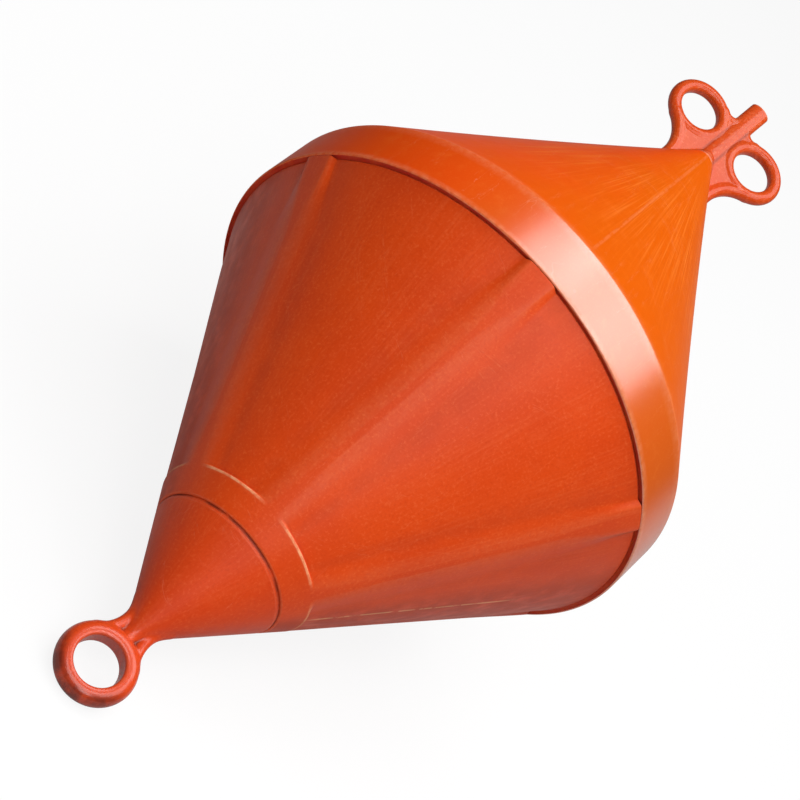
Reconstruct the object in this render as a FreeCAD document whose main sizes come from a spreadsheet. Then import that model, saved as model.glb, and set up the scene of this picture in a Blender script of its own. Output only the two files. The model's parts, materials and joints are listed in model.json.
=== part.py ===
"""Two-cone mooring buoy, lying on its side as it comes to rest on a floor.

Every piece is drawn upright about its own axis: the band's lower rim is at z = 0, the top eyes
are at +z and the mooring eye at -z, and both eye plates lie in the YZ plane. One shared placement
then lays the buoy on the rim of its band and the far side of its mooring eye, with the floor at
z = 0 and the origin under the middle of its bounding box.
"""
import FreeCAD
import Part
import Sketcher
import math
import os

doc = FreeCAD.newDocument("mooring_buoy")

# ----------------------------------------------------------------------------- driving sizes
# alias, value in millimetres, degrees or pieces, and what it is
DRIVING = [
    ("hull_radius", 160.0, "outside radius of the band"),
    ("band_width", 35.7, "height of the band along the axis"),
    ("band_draft", 0.4, "how much smaller the band is at its upper edge"),
    ("rim_round", 1.0, "rounding of the band's lower rim"),
    ("shell_wall", 3.0, "wall of both shells, measured across the axis at the band"),
    ("fit_gap", 0.2, "clearance of a spigot in its socket"),
    ("upper_top", 299.0, "height of the upper cone's end above the rim"),
    ("upper_sag", 1.4, "how far the upper cone's side is hollowed at its middle"),
    ("neck_length", 37.0, "length of the solid neck at the end of the upper cone"),
    ("neck_lip", 1.5, "wall around the peg at the end of the upper cone"),
    ("spigot_height", 16.0, "how far the lower shell reaches up inside the band"),
    ("rib_inset", 0.5, "how far the rib crests lie inside the band's rim"),
    ("apex_depth", 256.5, "depth where the sides of the lower cone would meet"),
    ("seam_depth", 181.0, "depth of the seam between lower shell and eye cap"),
    ("collar_height", 15.0, "height of the collar, from the seam to the step where the panels end"),
    ("step_run", 1.6, "length of the sloping face of that step"),
    ("seam_width", 1.0, "width of the groove at the seam"),
    ("seam_groove", 1.2, "depth of the groove at the seam"),
    ("panel_sink", 2.3, "how far the panels lie under the rib crests"),
    ("rib_count", 6.0, "ribs round the lower cone"),
    ("rib_turn", -3.0, "angle of the first rib from the floor side"),
    ("rib_crest", 17.0, "width of a rib's crest"),
    ("rib_foot", 29.0, "width of a rib where its flanks meet the panels"),
    ("rib_root", 1.2, "how deep a rib is rooted in the wall under the panels"),
    ("cap_spigot", 14.0, "how far the eye cap reaches up inside the lower shell"),
    ("eye_drop", 20.0, "how far the mooring eye's centre lies beyond where the sides meet"),
    ("eye_ring", 17.4, "radius of the mooring eye's ring, at the middle of its bar"),
    ("eye_bar", 6.6, "radius of the mooring eye's round bar"),
    ("eye_hole", 14.6, "radius of the hole in the mooring eye"),
    ("flare_round", 22.5, "radius of the hollow between mooring eye and cap"),
    ("flare_bar", 3.4, "radius of the bead that edges that hollow"),
    ("eye_web", 3.4, "thickness of the web between mooring eye and cap"),
    ("eye_spine", 3.8, "radius of the spine in the middle of that web"),
    ("ear_rise", 23.2, "height of the top eyes' centres above the upper cone's end"),
    ("ear_spread", 27.0, "distance of a top eye's centre from the axis"),
    ("ear_ring", 18.7, "radius of a top eye's ring, at the middle of its bar"),
    ("ear_bar", 4.6, "radius of a top eye's round bar"),
    ("ear_hole", 14.4, "radius of the hole in a top eye"),
    ("waist_round", 28.0, "radius of the hollow between top eye and cone"),
    ("waist_bar", 4.2, "radius of the bead that edges that hollow"),
    ("crotch_round", 4.0, "radius of the hollow between top eye and spine"),
    ("crotch_bar", 3.8, "radius of the bead that edges that hollow"),
    ("ear_web", 7.2, "thickness of the web between the top eyes"),
    ("spine_width", 7.5, "half the width of the oval spine between the top eyes"),
    ("spine_depth", 4.4, "half the thickness of that spine"),
    ("spine_rise", 66.5, "height of the spine's upper end above the upper cone's end"),
    ("peg_radius", 4.5, "radius of the peg under the spine"),
    ("peg_length", 26.0, "how deep the peg sits in the neck of the upper cone"),
]

# worked-out values, as formulas on the driving sizes
WORKED = [
    ("step_depth", "dims.seam_depth - dims.collar_height"),
    ("eye_depth", "dims.apex_depth + dims.eye_drop"),
    ("neck_floor", "dims.upper_top - dims.neck_length"),
    ("ear_height", "dims.upper_top + dims.ear_rise"),
    ("spine_top", "dims.upper_top + dims.spine_rise"),
    ("rib_rim", "dims.hull_radius - dims.rib_inset"),
    ("slope", "atan(rib_rim / dims.apex_depth)"),
    ("step_radius", "rib_rim * (1 - step_depth / dims.apex_depth)"),
    ("seam_radius", "rib_rim * (1 - dims.seam_depth / dims.apex_depth)"),
    ("groove_radius", "rib_rim * (1 - (dims.seam_depth + dims.seam_width) / dims.apex_depth)"),
    ("side_wall", "dims.shell_wall / cos(slope)"),
    ("socket_radius", "dims.hull_radius - dims.shell_wall"),
    ("spigot_radius", "socket_radius - dims.fit_gap"),
    ("bore_radius", "spigot_radius - dims.shell_wall"),
    ("collar_bore", "seam_radius - dims.panel_sink - side_wall"),
    ("rib_length", "step_depth / cos(slope)"),
    ("neck_bore", "dims.peg_radius + dims.fit_gap / 2"),
    ("band_top_radius", "dims.hull_radius - dims.band_draft"),
    ("tip_radius", "neck_bore + dims.neck_lip"),
    ("upper_drop", "band_top_radius - tip_radius"),
    ("upper_rise", "dims.upper_top - dims.band_width"),
    ("upper_chord", "sqrt(upper_drop ^ 2 + upper_rise ^ 2)"),
    ("upper_arc", "upper_chord ^ 2 / (8 * dims.upper_sag) + dims.upper_sag / 2"),
    ("upper_slope", "atan(upper_drop / upper_rise)"),
    ("upper_wall", "dims.shell_wall / cos(upper_slope)"),
    ("neck_radius", "tip_radius + (dims.upper_top - neck_floor) * tan(upper_slope)"),
    ("void_tip", "neck_radius - upper_wall - dims.upper_sag / 2"),
    # the hollow between the mooring eye and the cap
    ("eye_outer", "dims.eye_ring + dims.eye_bar"),
    ("eye_beyond", "dims.eye_drop * sin(slope)"),
    ("flare_far", "sqrt((eye_outer + dims.flare_round) ^ 2 - (dims.flare_round - eye_beyond) ^ 2)"),
    ("flare_foot", "flare_far - dims.eye_drop * cos(slope)"),
    ("flare_y", "flare_foot * sin(slope) + dims.flare_round * cos(slope)"),
    ("flare_z", "flare_foot * cos(slope) - dims.flare_round * sin(slope) - dims.apex_depth"),
    ("flare_start", "atan2(sin(slope); -cos(slope))"),
    ("flare_end", "360 deg + atan2(-eye_depth - flare_z; -flare_y)"),
    # the hollows round the top eyes
    ("ear_outer", "dims.ear_ring + dims.ear_bar"),
    ("ear_along", "(dims.ear_spread - tip_radius) * cos(upper_slope)"),
    ("ear_off", "ear_along + dims.ear_rise * sin(upper_slope)"),
    ("waist_far", "sqrt((ear_outer + dims.waist_round) ^ 2 - (ear_off - dims.waist_round) ^ 2)"),
    ("waist_y", "dims.ear_spread - (ear_off - dims.waist_round) * cos(upper_slope)"
                " + waist_far * sin(upper_slope)"),
    ("waist_z", "ear_height - (ear_off - dims.waist_round) * sin(upper_slope)"
                " - waist_far * cos(upper_slope)"),
    ("crotch_y", "dims.spine_width + dims.crotch_round"),
    ("crotch_z", "ear_height + sqrt((ear_outer + dims.crotch_round) ^ 2"
                 " - (dims.ear_spread - crotch_y) ^ 2)"),
    # the lug's foot carries the cone's side on until it is lost in the spine
    ("foot_tip", "dims.spine_depth / 2"),
    ("foot_rise", "(tip_radius - foot_tip) / tan(upper_slope)"),
    # how the buoy lies
    ("eye_reach", "eye_depth + dims.eye_ring"),
    ("rest_run", "eye_reach + dims.rim_round"),
    ("rest_rise", "dims.hull_radius - dims.rim_round"),
    ("rest_span", "sqrt(rest_run ^ 2 + rest_rise ^ 2)"),
    ("rest_angle", "atan(rest_rise / rest_run) - asin((dims.eye_bar - dims.rim_round) / rest_span)"),
    ("low_end", "-eye_reach * cos(rest_angle) - dims.eye_bar"),
    ("high_end", "spine_top * cos(rest_angle) + dims.spine_depth * sin(rest_angle)"),
    ("rest_x", "-(low_end + high_end) / 2"),
    ("rest_z", "eye_reach * sin(rest_angle) + dims.eye_bar"),
    ("rest_turn", "90 deg - rest_angle"),
]


def fill_sheet(name, rows):
    """Add a sheet with one aliased row for each entry and return it."""
    sheet = doc.addObject("Spreadsheet::Sheet", name)
    for row, entry in enumerate(rows, start=1):
        sheet.set(f"A{row}", entry[0])
        sheet.setAlias(f"B{row}", entry[0])
        sheet.set(f"B{row}", entry[1])
        if len(entry) > 2:
            sheet.set(f"C{row}", entry[2])
    doc.recompute()
    return sheet


fill_sheet("dims", [(alias, str(value), note) for alias, value, note in DRIVING])
worked = fill_sheet("worked", [(alias, "=" + formula) for alias, formula in WORKED])


def number(expression):
    """Evaluate an expression on the sheets and return its plain value."""
    value = worked.evalExpression(expression)
    return float(getattr(value, "Value", value))


# ----------------------------------------------------------------------------- drawing helpers
def bind(item, **sizes):
    """Bind properties of an object to expressions; a double underscore stands for a dot."""
    for name, expression in sizes.items():
        item.setExpression(name.replace("__", "."), expression)
    return item


def pin_axis(sketch, kind, edge, point, expression, name):
    """Fix one coordinate of a sketch point to an expression on the sheets."""
    value = number(expression)
    if abs(value) < 1e-9:
        axis = -2 if kind == "DistanceX" else -1
        sketch.addConstraint(Sketcher.Constraint("PointOnObject", edge, point, axis))
    elif value > 0:
        index = sketch.addConstraint(Sketcher.Constraint(kind, -1, 1, edge, point, value))
        sketch.renameConstraint(index, name)
        sketch.setExpression("Constraints." + name, expression)
    else:
        index = sketch.addConstraint(Sketcher.Constraint(kind, edge, point, -1, 1, -value))
        sketch.renameConstraint(index, name)
        sketch.setExpression("Constraints." + name, f"-({expression})")


def outline(sketch, corners):
    """Draw a closed outline and bind it to the sheets.

    Each corner is (name, x, y) or (name, x, y, radius), all but the name as expressions. A radius
    makes the edge that leaves the corner an arc: a positive one bulges to the right of the way
    drawn, and a negative one, written "-...", to its left.
    """
    points = [FreeCAD.Vector(number(c[1]), number(c[2]), 0) for c in corners]
    leaving = []
    for index, corner in enumerate(corners):
        start = points[index]
        end = points[(index + 1) % len(points)]
        if len(corner) == 3:
            sketch.addGeometry(Part.LineSegment(start, end))
            leaving.append(1)
            continue
        radius = number(corner[3])
        sketch.addGeometry(round_edge(start, end, radius))
        leaving.append(1 if radius > 0 else 2)
    for index, corner in enumerate(corners):
        after = (index + 1) % len(corners)
        joint = (index, 3 - leaving[index], after, leaving[after])
        sketch.addConstraint(Sketcher.Constraint("Coincident", *joint))
    for index, corner in enumerate(corners):
        pin_axis(sketch, "DistanceX", index, leaving[index], corner[1], corner[0] + "_x")
        pin_axis(sketch, "DistanceY", index, leaving[index], corner[2], corner[0] + "_y")
        if len(corner) == 4:
            radius = abs(number(corner[3]))
            entry = sketch.addConstraint(Sketcher.Constraint("Radius", index, radius))
            sketch.renameConstraint(entry, corner[0] + "_radius")
            sketch.setExpression(f"Constraints.{corner[0]}_radius", f"abs({corner[3]})")


def round_edge(start, end, radius):
    """Make the arc between two points; its centre is on the left of the way for a positive radius."""
    chord = end - start
    left = FreeCAD.Vector(-chord.y, chord.x, 0).normalize()
    side = 1 if radius > 0 else -1
    reach = (radius ** 2 - (chord.Length / 2) ** 2) ** 0.5
    centre = (start + end) / 2 + left * (side * reach)
    first, last = (start, end) if radius > 0 else (end, start)
    begin = math.atan2(first.y - centre.y, first.x - centre.x)
    finish = math.atan2(last.y - centre.y, last.x - centre.x)
    if finish < begin:
        finish += 2 * math.pi
    circle = Part.Circle(centre, FreeCAD.Vector(0, 0, 1), abs(radius))
    return Part.ArcOfCircle(circle, begin, finish)


def base_plane(body, role):
    """Find one of a body's own origin planes."""
    return next(item for item in body.Origin.OriginFeatures if item.Role == role)


def new_body(name):
    """Add an empty body."""
    return doc.addObject("PartDesign::Body", name)


def new_sketch(body, name, role, corners):
    """Add an outline to a body, on one of its own origin planes."""
    sketch = body.newObject("Sketcher::SketchObject", name)
    sketch.AttachmentSupport = [(base_plane(body, role), "")]
    sketch.MapMode = "FlatFace"
    outline(sketch, corners)
    doc.recompute()
    return sketch


def turned_body(name, corners):
    """Turn a closed half-profile, radius across and height up, all round the axis."""
    body = new_body(name)
    sketch = new_sketch(body, name + "_profile", "XZ_Plane", corners)
    turn = body.newObject("PartDesign::Revolution", name + "_turn")
    turn.Profile = sketch
    turn.ReferenceAxis = (sketch, ["V_Axis"])
    turn.Angle = 360
    body.Tip = turn
    doc.recompute()
    return body


def plate_body(name, corners, thickness):
    """Pad an outline in the YZ plane by half the thickness to each side."""
    body = new_body(name)
    sketch = new_sketch(body, name + "_outline", "YZ_Plane", corners)
    pad = body.newObject("PartDesign::Pad", name + "_pad")
    pad.Profile = sketch
    pad.Midplane = True
    bind(pad, Length=thickness)
    body.Tip = pad
    doc.recompute()
    return body


def place(item, axis, angle, x="0 mm", y="0 mm", z="0 mm"):
    """Turn an object about an axis and shift it, with all values bound."""
    item.Placement = FreeCAD.Placement(FreeCAD.Vector(), FreeCAD.Rotation(axis, number(angle)))
    bind(item, Placement__Rotation__Angle=angle)
    bind(item, Placement__Base__x=x, Placement__Base__y=y, Placement__Base__z=z)
    return item


def ring(name, ring_radius, bar_radius, y, z, sweep=None):
    """Add a round bar bent to a circle in the YZ plane, or to a part of one.

    sweep is (start, end): the angles, from +Y towards +Z, between which the bar runs.
    """
    torus = doc.addObject("Part::Torus", name)
    bind(torus, Radius1=ring_radius, Radius2=bar_radius)
    if sweep:
        bind(torus, Angle3=f"({sweep[1]}) - ({sweep[0]})")
    # the circle is drawn in the XY plane from +X; these turns bring it to YZ, from the start angle
    start = number(sweep[0]) if sweep else 0.0
    upright = FreeCAD.Rotation(FreeCAD.Vector(0, 1, 0), FreeCAD.Vector(0, 0, 1), FreeCAD.Vector(1, 0, 0))
    spin = FreeCAD.Rotation(FreeCAD.Vector(0, 0, 1), start)
    torus.Placement = FreeCAD.Placement(FreeCAD.Vector(), upright.multiply(spin))
    bind(torus, Placement__Base__y=y, Placement__Base__z=z)
    return torus


def across(name, radius, length, y, z):
    """Add a cylinder that runs along X, through the plane of the eye plates."""
    bar = doc.addObject("Part::Cylinder", name)
    bind(bar, Radius=radius, Height=length)
    place(bar, FreeCAD.Vector(0, 1, 0), "90 deg", x=f"-({length}) / 2", y=y, z=z)
    return bar


def upright(name, radius, bottom, top):
    """Add a cylinder on the buoy's axis, between two heights."""
    bar = doc.addObject("Part::Cylinder", name)
    bind(bar, Radius=radius, Height=f"({top}) - ({bottom})", Placement__Base__z=bottom)
    return bar


def oval(name, half_width, half_depth, bottom, top):
    """Add a bar of oval section on the buoy's axis, wide along Y, between two heights."""
    rim = doc.addObject("Part::Ellipse", name + "_rim")
    bind(rim, MajorRadius=half_width, MinorRadius=half_depth)
    rim.Placement = FreeCAD.Placement(FreeCAD.Vector(), FreeCAD.Rotation(FreeCAD.Vector(0, 0, 1), 90))
    bind(rim, Placement__Base__z=bottom)
    bar = doc.addObject("Part::Extrusion", name)
    bar.Base = rim
    bar.DirMode = "Custom"
    bar.Dir = FreeCAD.Vector(0, 0, 1)
    bar.Solid = True
    bind(bar, LengthFwd=f"({top}) - ({bottom})")
    return bar


def fused(name, items):
    """Join solids into one."""
    union = doc.addObject("Part::MultiFuse", name)
    union.Shapes = items
    union.Refine = True
    doc.recompute()
    return union


def common(name, items):
    """Keep what several solids share."""
    shared = doc.addObject("Part::MultiCommon", name)
    shared.Shapes = items
    doc.recompute()
    return shared


def cut(name, base, tool):
    """Take one solid away from another."""
    rest = doc.addObject("Part::Cut", name)
    rest.Base = base
    rest.Tool = tool
    rest.Refine = True
    doc.recompute()
    return rest


# ----------------------------------------------------------------------------- upper shell
def make_upper_shell():
    """Band and upper cone in one thin shell, with a solid neck that holds the top lug."""
    envelope = turned_body("upper_envelope", [
        ("axis_low", "0", "0"),
        ("rim_low", "dims.hull_radius - dims.rim_round", "0", "dims.rim_round"),
        ("rim_side", "dims.hull_radius", "dims.rim_round"),
        ("band_top", "worked.band_top_radius", "dims.band_width", "-worked.upper_arc"),
        ("tip", "worked.tip_radius", "dims.upper_top"),
        ("axis_top", "0", "dims.upper_top"),
    ])
    void = turned_body("upper_void", [
        ("axis_low", "0", "-dims.shell_wall"),
        ("side_low", "worked.socket_radius", "-dims.shell_wall"),
        ("side_top", "worked.socket_radius", "dims.band_width - dims.shell_wall / 2", "-worked.upper_arc"),
        ("neck", "worked.void_tip", "worked.neck_floor"),
        ("axis_top", "0", "worked.neck_floor"),
    ])
    socket = upright("neck_socket", "worked.neck_bore", "dims.upper_top - dims.peg_length - dims.fit_gap",
                     "dims.upper_top + dims.shell_wall")
    hollow = cut("upper_hollow", envelope, void)
    return envelope, cut("upper_shell", hollow, socket)


# ----------------------------------------------------------------------------- lower shell
def make_rib(index):
    """One straight rib along the side of the lower cone, with sloping flanks."""
    rib = doc.addObject("Part::Wedge", f"rib_{index + 1}")
    depth = "dims.panel_sink * cos(worked.slope) + dims.rib_root"
    spread = f"(dims.rib_foot - dims.rib_crest) / 2 * ({depth}) / dims.panel_sink"
    proud = "dims.rib_crest / 8"
    bind(rib, Xmin=f"-dims.rib_crest / 2 - {spread}", Xmax=f"dims.rib_crest / 2 + {spread}",
         X2min="-dims.rib_crest / 2", X2max="dims.rib_crest / 2",
         Ymin=f"-({depth})", Ymax=proud,
         Zmin="0", Zmax="worked.rib_length + dims.rib_crest",
         Z2min="0", Z2max="worked.rib_length + dims.rib_crest")
    slope = number("worked.slope")
    lean = FreeCAD.Rotation(FreeCAD.Vector(0, 1, 0), slope)
    face_out = FreeCAD.Rotation(FreeCAD.Vector(0, 0, 1), -90)
    turn = number("dims.rib_turn") + index * 360 / number("dims.rib_count")
    around = FreeCAD.Rotation(FreeCAD.Vector(0, 0, 1), turn)
    foot = FreeCAD.Vector(number("worked.step_radius"), 0, -number("worked.step_depth"))
    rib.Placement = FreeCAD.Placement(around.multVec(foot), around.multiply(lean).multiply(face_out))
    return rib


def make_lower_shell():
    """Lower cone: sunk panels between straight ribs, a full collar and a spigot into the band."""
    skin = turned_body("lower_skin", [
        ("shoulder", "worked.rib_rim - dims.panel_sink", "0"),
        ("spigot_foot", "worked.spigot_radius", "0"),
        ("spigot_top", "worked.spigot_radius", "dims.spigot_height"),
        ("bore_top", "worked.bore_radius", "dims.spigot_height"),
        ("bore_foot", "worked.bore_radius", "0"),
        ("collar_in", "worked.collar_bore", "-dims.seam_depth"),
        ("collar_out", "worked.seam_radius", "-dims.seam_depth"),
        ("step_out", "worked.step_radius", "-worked.step_depth"),
        ("step_in", "worked.step_radius - dims.panel_sink + dims.step_run * tan(worked.slope)",
         "dims.step_run - worked.step_depth"),
    ])
    crest_cone = doc.addObject("Part::Cone", "crest_cone")
    bind(crest_cone, Radius1="worked.step_radius", Radius2="worked.rib_rim",
         Height="worked.step_depth", Placement__Base__z="-worked.step_depth")
    ribs = [make_rib(index) for index in range(int(number("dims.rib_count")))]
    doc.recompute()
    bank = fused("rib_bank", ribs)
    trimmed = common("ribs_trimmed", [bank, crest_cone])
    return fused("lower_shell", [skin, trimmed])


# ----------------------------------------------------------------------------- eye cap
def make_bottom_eye_cap():
    """Pointed cap with the mooring eye, its web, its spine and two beads moulded on."""
    point = "dims.apex_depth - dims.eye_spine / tan(worked.slope)"
    cone = turned_body("cap_cone", [
        ("axis_top", "0", "dims.cap_spigot - dims.seam_depth"),
        ("spigot_top", "worked.collar_bore - dims.fit_gap", "dims.cap_spigot - dims.seam_depth"),
        ("spigot_foot", "worked.collar_bore - dims.fit_gap", "-dims.seam_depth"),
        ("shelf_out", "worked.seam_radius - dims.seam_groove", "-dims.seam_depth"),
        ("groove_foot", "worked.seam_radius - dims.seam_groove", "-dims.seam_depth - dims.seam_width"),
        ("groove_out", "worked.groove_radius", "-dims.seam_depth - dims.seam_width"),
        ("point", "dims.eye_spine", f"-({point})"),
        ("axis_low", "0", f"-({point})"),
    ])
    spine = upright("eye_spine", "dims.eye_spine", "dims.eye_ring - worked.eye_depth", f"-({point})")
    eye = ring("eye_ring", "dims.eye_ring", "dims.eye_bar", "0 mm", "-worked.eye_depth")
    bead_radius = "dims.flare_round + dims.flare_bar"
    left = ring("flare_left", bead_radius, "dims.flare_bar", "worked.flare_y", "worked.flare_z",
                ("worked.flare_start", "worked.flare_end"))
    right = ring("flare_right", bead_radius, "dims.flare_bar", "-worked.flare_y", "worked.flare_z",
                 ("540 deg - worked.flare_end", "540 deg - worked.flare_start"))
    foot_y = f"worked.flare_y - ({bead_radius}) * cos(worked.slope)"
    foot_z = f"worked.flare_z + ({bead_radius}) * sin(worked.slope)"
    share = f"(1 - ({bead_radius}) / (worked.eye_outer + dims.flare_round))"
    neck_y = f"worked.flare_y * {share}"
    neck_z = f"(worked.flare_z + worked.eye_depth) * {share} - worked.eye_depth"
    web = plate_body("eye_web", [
        ("foot_right", foot_y, foot_z),
        ("foot_left", f"-({foot_y})", foot_z, f"-({bead_radius})"),
        ("neck_left", f"-({neck_y})", neck_z),
        ("middle", "0", "-worked.eye_depth"),
        ("neck_right", neck_y, neck_z, f"-({bead_radius})"),
    ], "dims.eye_web")
    block = fused("eye_block", [cone, spine, eye, left, right, web])
    hole = across("eye_hole", "dims.eye_hole", "dims.eye_bar * 4", "0 mm", "-worked.eye_depth")
    return cut("bottom_eye_cap", block, hole)


# ----------------------------------------------------------------------------- top lug
def make_top_eye_lug(envelope):
    """Plate with two eyes across the axis, seated on the cone, and the spine in the cone's neck."""
    eyes = []
    beads = []
    holes = []
    windows = []
    bead_radius = "dims.waist_round + dims.waist_bar"
    crotch_radius = "dims.crotch_round + dims.crotch_bar"
    lean = "worked.upper_slope"
    to_ear = "atan2(worked.ear_height - worked.waist_z; dims.ear_spread - worked.waist_y)"
    # a bead starts where it is tangent to the cone's side and ends where it meets the eye
    sweeps = {"left": (to_ear, f"180 deg + {lean}"), "right": (f"0 deg - {lean}", f"180 deg - {to_ear}")}
    # the small bead above runs to the eye from 15 degrees before its hollow, inside the spine
    down = "atan2(worked.ear_height - worked.crotch_z; dims.ear_spread - worked.crotch_y)"
    bends = {"left": ("165 deg", f"360 deg + {down}"), "right": (f"0 deg - 180 deg - {down}", "15 deg")}
    for side, sign in (("left", ""), ("right", "-")):
        y = f"{sign}dims.ear_spread"
        eyes.append(ring(f"ear_{side}", "dims.ear_ring", "dims.ear_bar", y, "worked.ear_height"))
        beads.append(ring(f"waist_{side}", bead_radius, "dims.waist_bar", f"{sign}worked.waist_y",
                          "worked.waist_z", sweeps[side]))
        beads.append(ring(f"crotch_{side}", crotch_radius, "dims.crotch_bar", f"{sign}worked.crotch_y",
                          "worked.crotch_z", bends[side]))
        holes.append(across(f"hole_{side}", "dims.ear_hole", "dims.ear_bar * 4", y, "worked.ear_height"))
        windows.append(across(f"window_{side}", "dims.ear_ring", "dims.ear_bar * 4", y, "worked.ear_height"))
    waist_share = f"(1 - ({bead_radius}) / (worked.ear_outer + dims.waist_round))"
    crotch_share = f"(1 - ({crotch_radius}) / (worked.ear_outer + dims.crotch_round))"
    foot_y = f"worked.waist_y - ({bead_radius}) * cos({lean})"
    foot_z = f"worked.waist_z - ({bead_radius}) * sin({lean})"
    side_y = f"dims.ear_spread + (worked.waist_y - dims.ear_spread) * {waist_share}"
    side_z = f"worked.ear_height + (worked.waist_z - worked.ear_height) * {waist_share}"
    top_y = f"dims.ear_spread + (worked.crotch_y - dims.ear_spread) * {crotch_share}"
    top_z = f"worked.ear_height + (worked.crotch_z - worked.ear_height) * {crotch_share}"
    half = [
        ("foot", foot_y, foot_z, f"-({bead_radius})"),
        ("side", side_y, side_z),
        ("ear", "dims.ear_spread", "worked.ear_height"),
        ("top", top_y, top_z, f"-({crotch_radius})"),
        ("crotch", "dims.spine_width - dims.crotch_bar", "worked.crotch_z"),
    ]
    mirrored = []
    arcs = {"crotch": f"-({crotch_radius})", "side": f"-({bead_radius})"}
    for name, y, z, *_ in reversed(half):
        mirrored.append((name + "_right", f"-({y})", z) + ((arcs[name],) if name in arcs else ()))
    web = plate_body("ear_web", [(c[0] + "_left",) + c[1:] for c in half] + mirrored, "dims.ear_web")
    # inside the middle of its bar an eye is only its bar, so the web ends there
    open_web = cut("ear_web_open", web, fused("ear_windows", windows))
    spine = oval("lug_spine", "dims.spine_width", "dims.spine_depth",
                 "worked.neck_floor", "worked.spine_top")
    plate = fused("lug_plate", eyes + beads + [open_web, spine])
    seated = cut("lug_seated", plate, envelope)
    peg = upright("lug_peg", "dims.peg_radius", "dims.upper_top - dims.peg_length",
                  "dims.upper_top + worked.foot_rise / 2")
    foot = doc.addObject("Part::Cone", "lug_foot")
    bind(foot, Radius1="worked.tip_radius", Radius2="worked.foot_tip", Height="worked.foot_rise",
         Placement__Base__z="dims.upper_top")
    block = fused("lug_block", [seated, foot, peg])
    return cut("top_eye_lug", block, fused("lug_holes", holes))


# ----------------------------------------------------------------------------- the whole buoy
upper_envelope, upper_shell = make_upper_shell()
pieces = [upper_shell, make_lower_shell(), make_bottom_eye_cap(), make_top_eye_lug(upper_envelope)]
doc.recompute()
for piece in pieces:
    place(piece, FreeCAD.Vector(0, 1, 0), "worked.rest_turn", x="worked.rest_x", z="worked.rest_z")
doc.recompute()

for item in doc.Objects:
    if "Invalid" in item.State or "Error" in item.State:
        raise RuntimeError(f"{item.Label} failed: {item.State}")
for piece in pieces:
    if piece.Shape.isNull() or not piece.Shape.isValid() or len(piece.Shape.Solids) != 1:
        raise RuntimeError(f"{piece.Label} isn't one valid solid: {len(piece.Shape.Solids)}")

os.makedirs("parts", exist_ok=True)
for piece in pieces:
    piece.Shape.exportStep(f"parts/{piece.Label}.step")
    box = piece.Shape.optimalBoundingBox(False)
    print(f"{piece.Label}: {piece.Shape.Volume / 1000:.1f} cm3, z {box.ZMin:.2f} to {box.ZMax:.2f} mm")
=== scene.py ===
"""Two-cone mooring buoy: moulded shells, eye cap and top lug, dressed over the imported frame.

Sizes are in millimetres about the buoy's own axis: the band's lower rim is at z = 0, the top eyes
are at +z, the mooring eye is at -z, and both eye plates lie in the plane x = 0. BuoyFrame carries
these places into the frame's metres.
"""
from __future__ import annotations

import json
import logging
import math
from dataclasses import dataclass
from enum import Enum
from typing import Any, Callable, Sequence

import bpy
import numpy as np
from mathutils import Matrix, Vector

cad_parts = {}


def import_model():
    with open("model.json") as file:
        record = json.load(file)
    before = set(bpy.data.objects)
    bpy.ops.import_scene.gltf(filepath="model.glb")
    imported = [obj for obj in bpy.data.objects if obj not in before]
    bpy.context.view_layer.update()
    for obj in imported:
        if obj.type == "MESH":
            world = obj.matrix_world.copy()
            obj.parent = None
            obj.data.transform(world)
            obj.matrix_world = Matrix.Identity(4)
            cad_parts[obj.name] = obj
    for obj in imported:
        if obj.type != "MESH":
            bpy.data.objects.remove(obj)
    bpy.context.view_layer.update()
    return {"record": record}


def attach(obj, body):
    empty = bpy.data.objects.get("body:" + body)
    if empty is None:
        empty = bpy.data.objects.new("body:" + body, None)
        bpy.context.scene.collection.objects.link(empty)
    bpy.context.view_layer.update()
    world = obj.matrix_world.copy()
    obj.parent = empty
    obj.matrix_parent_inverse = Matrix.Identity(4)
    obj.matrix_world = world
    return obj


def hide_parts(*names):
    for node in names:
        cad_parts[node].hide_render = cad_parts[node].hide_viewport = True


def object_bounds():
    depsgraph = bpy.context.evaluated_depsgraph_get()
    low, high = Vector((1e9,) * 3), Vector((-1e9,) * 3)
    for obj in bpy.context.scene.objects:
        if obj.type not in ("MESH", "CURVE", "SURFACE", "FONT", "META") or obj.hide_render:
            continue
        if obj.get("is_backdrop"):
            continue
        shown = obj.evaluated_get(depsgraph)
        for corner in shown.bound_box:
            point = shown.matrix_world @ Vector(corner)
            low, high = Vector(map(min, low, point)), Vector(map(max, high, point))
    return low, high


log = logging.getLogger("mooring_buoy")

Colour = tuple[float, float, float]
Span = tuple[float, float]
Row = tuple[np.ndarray, np.ndarray, np.ndarray]  # points, edge mask and valley mask
Distance = Callable[[np.ndarray], np.ndarray]

MM = 0.001  # a millimetre in the frame's metres
AXIS = (0.0, 0.0, 1.0)
WHITE = (1.0, 1.0, 1.0, 1.0)
PLACE = "buoy_place"  # the attribute that holds each point's place about the axis, in mm
ROOM = 2.5  # mm left free round a solid that is meshed
CLOSE = 0.1  # mm, within which heights count as the same
TINY = 1e-6  # keeps a division from failing at the axis
FAR = 1e3  # mm, the distance given to places that the surface cannot cross
STRAIGHT = math.radians(89.9)  # half the angle at a corner that needs no rounding
BUOY_MIDDLE = (0.0, 0.0, 0.15)  # what the lamps face, in the frame's metres


# --------------------------------------------------------------------------- places and names
class Slot(Enum):
    """Finish slots of the record."""

    UPPER = "upper_plastic"
    LOWER = "lower_plastic"
    CAP = "cap_plastic"
    LUG = "lug_plastic"


class Mask(Enum):
    """Values that the meshes carry for their finish, each from 0 to 1."""

    # lightens with the worn colour: wear, and painted highlights on some edges
    EDGE = "edge"
    # darkens with the joint-and-shade colour: dark joints, and painted shade in creases and on shaded sides
    VALLEY = "valley"


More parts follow.
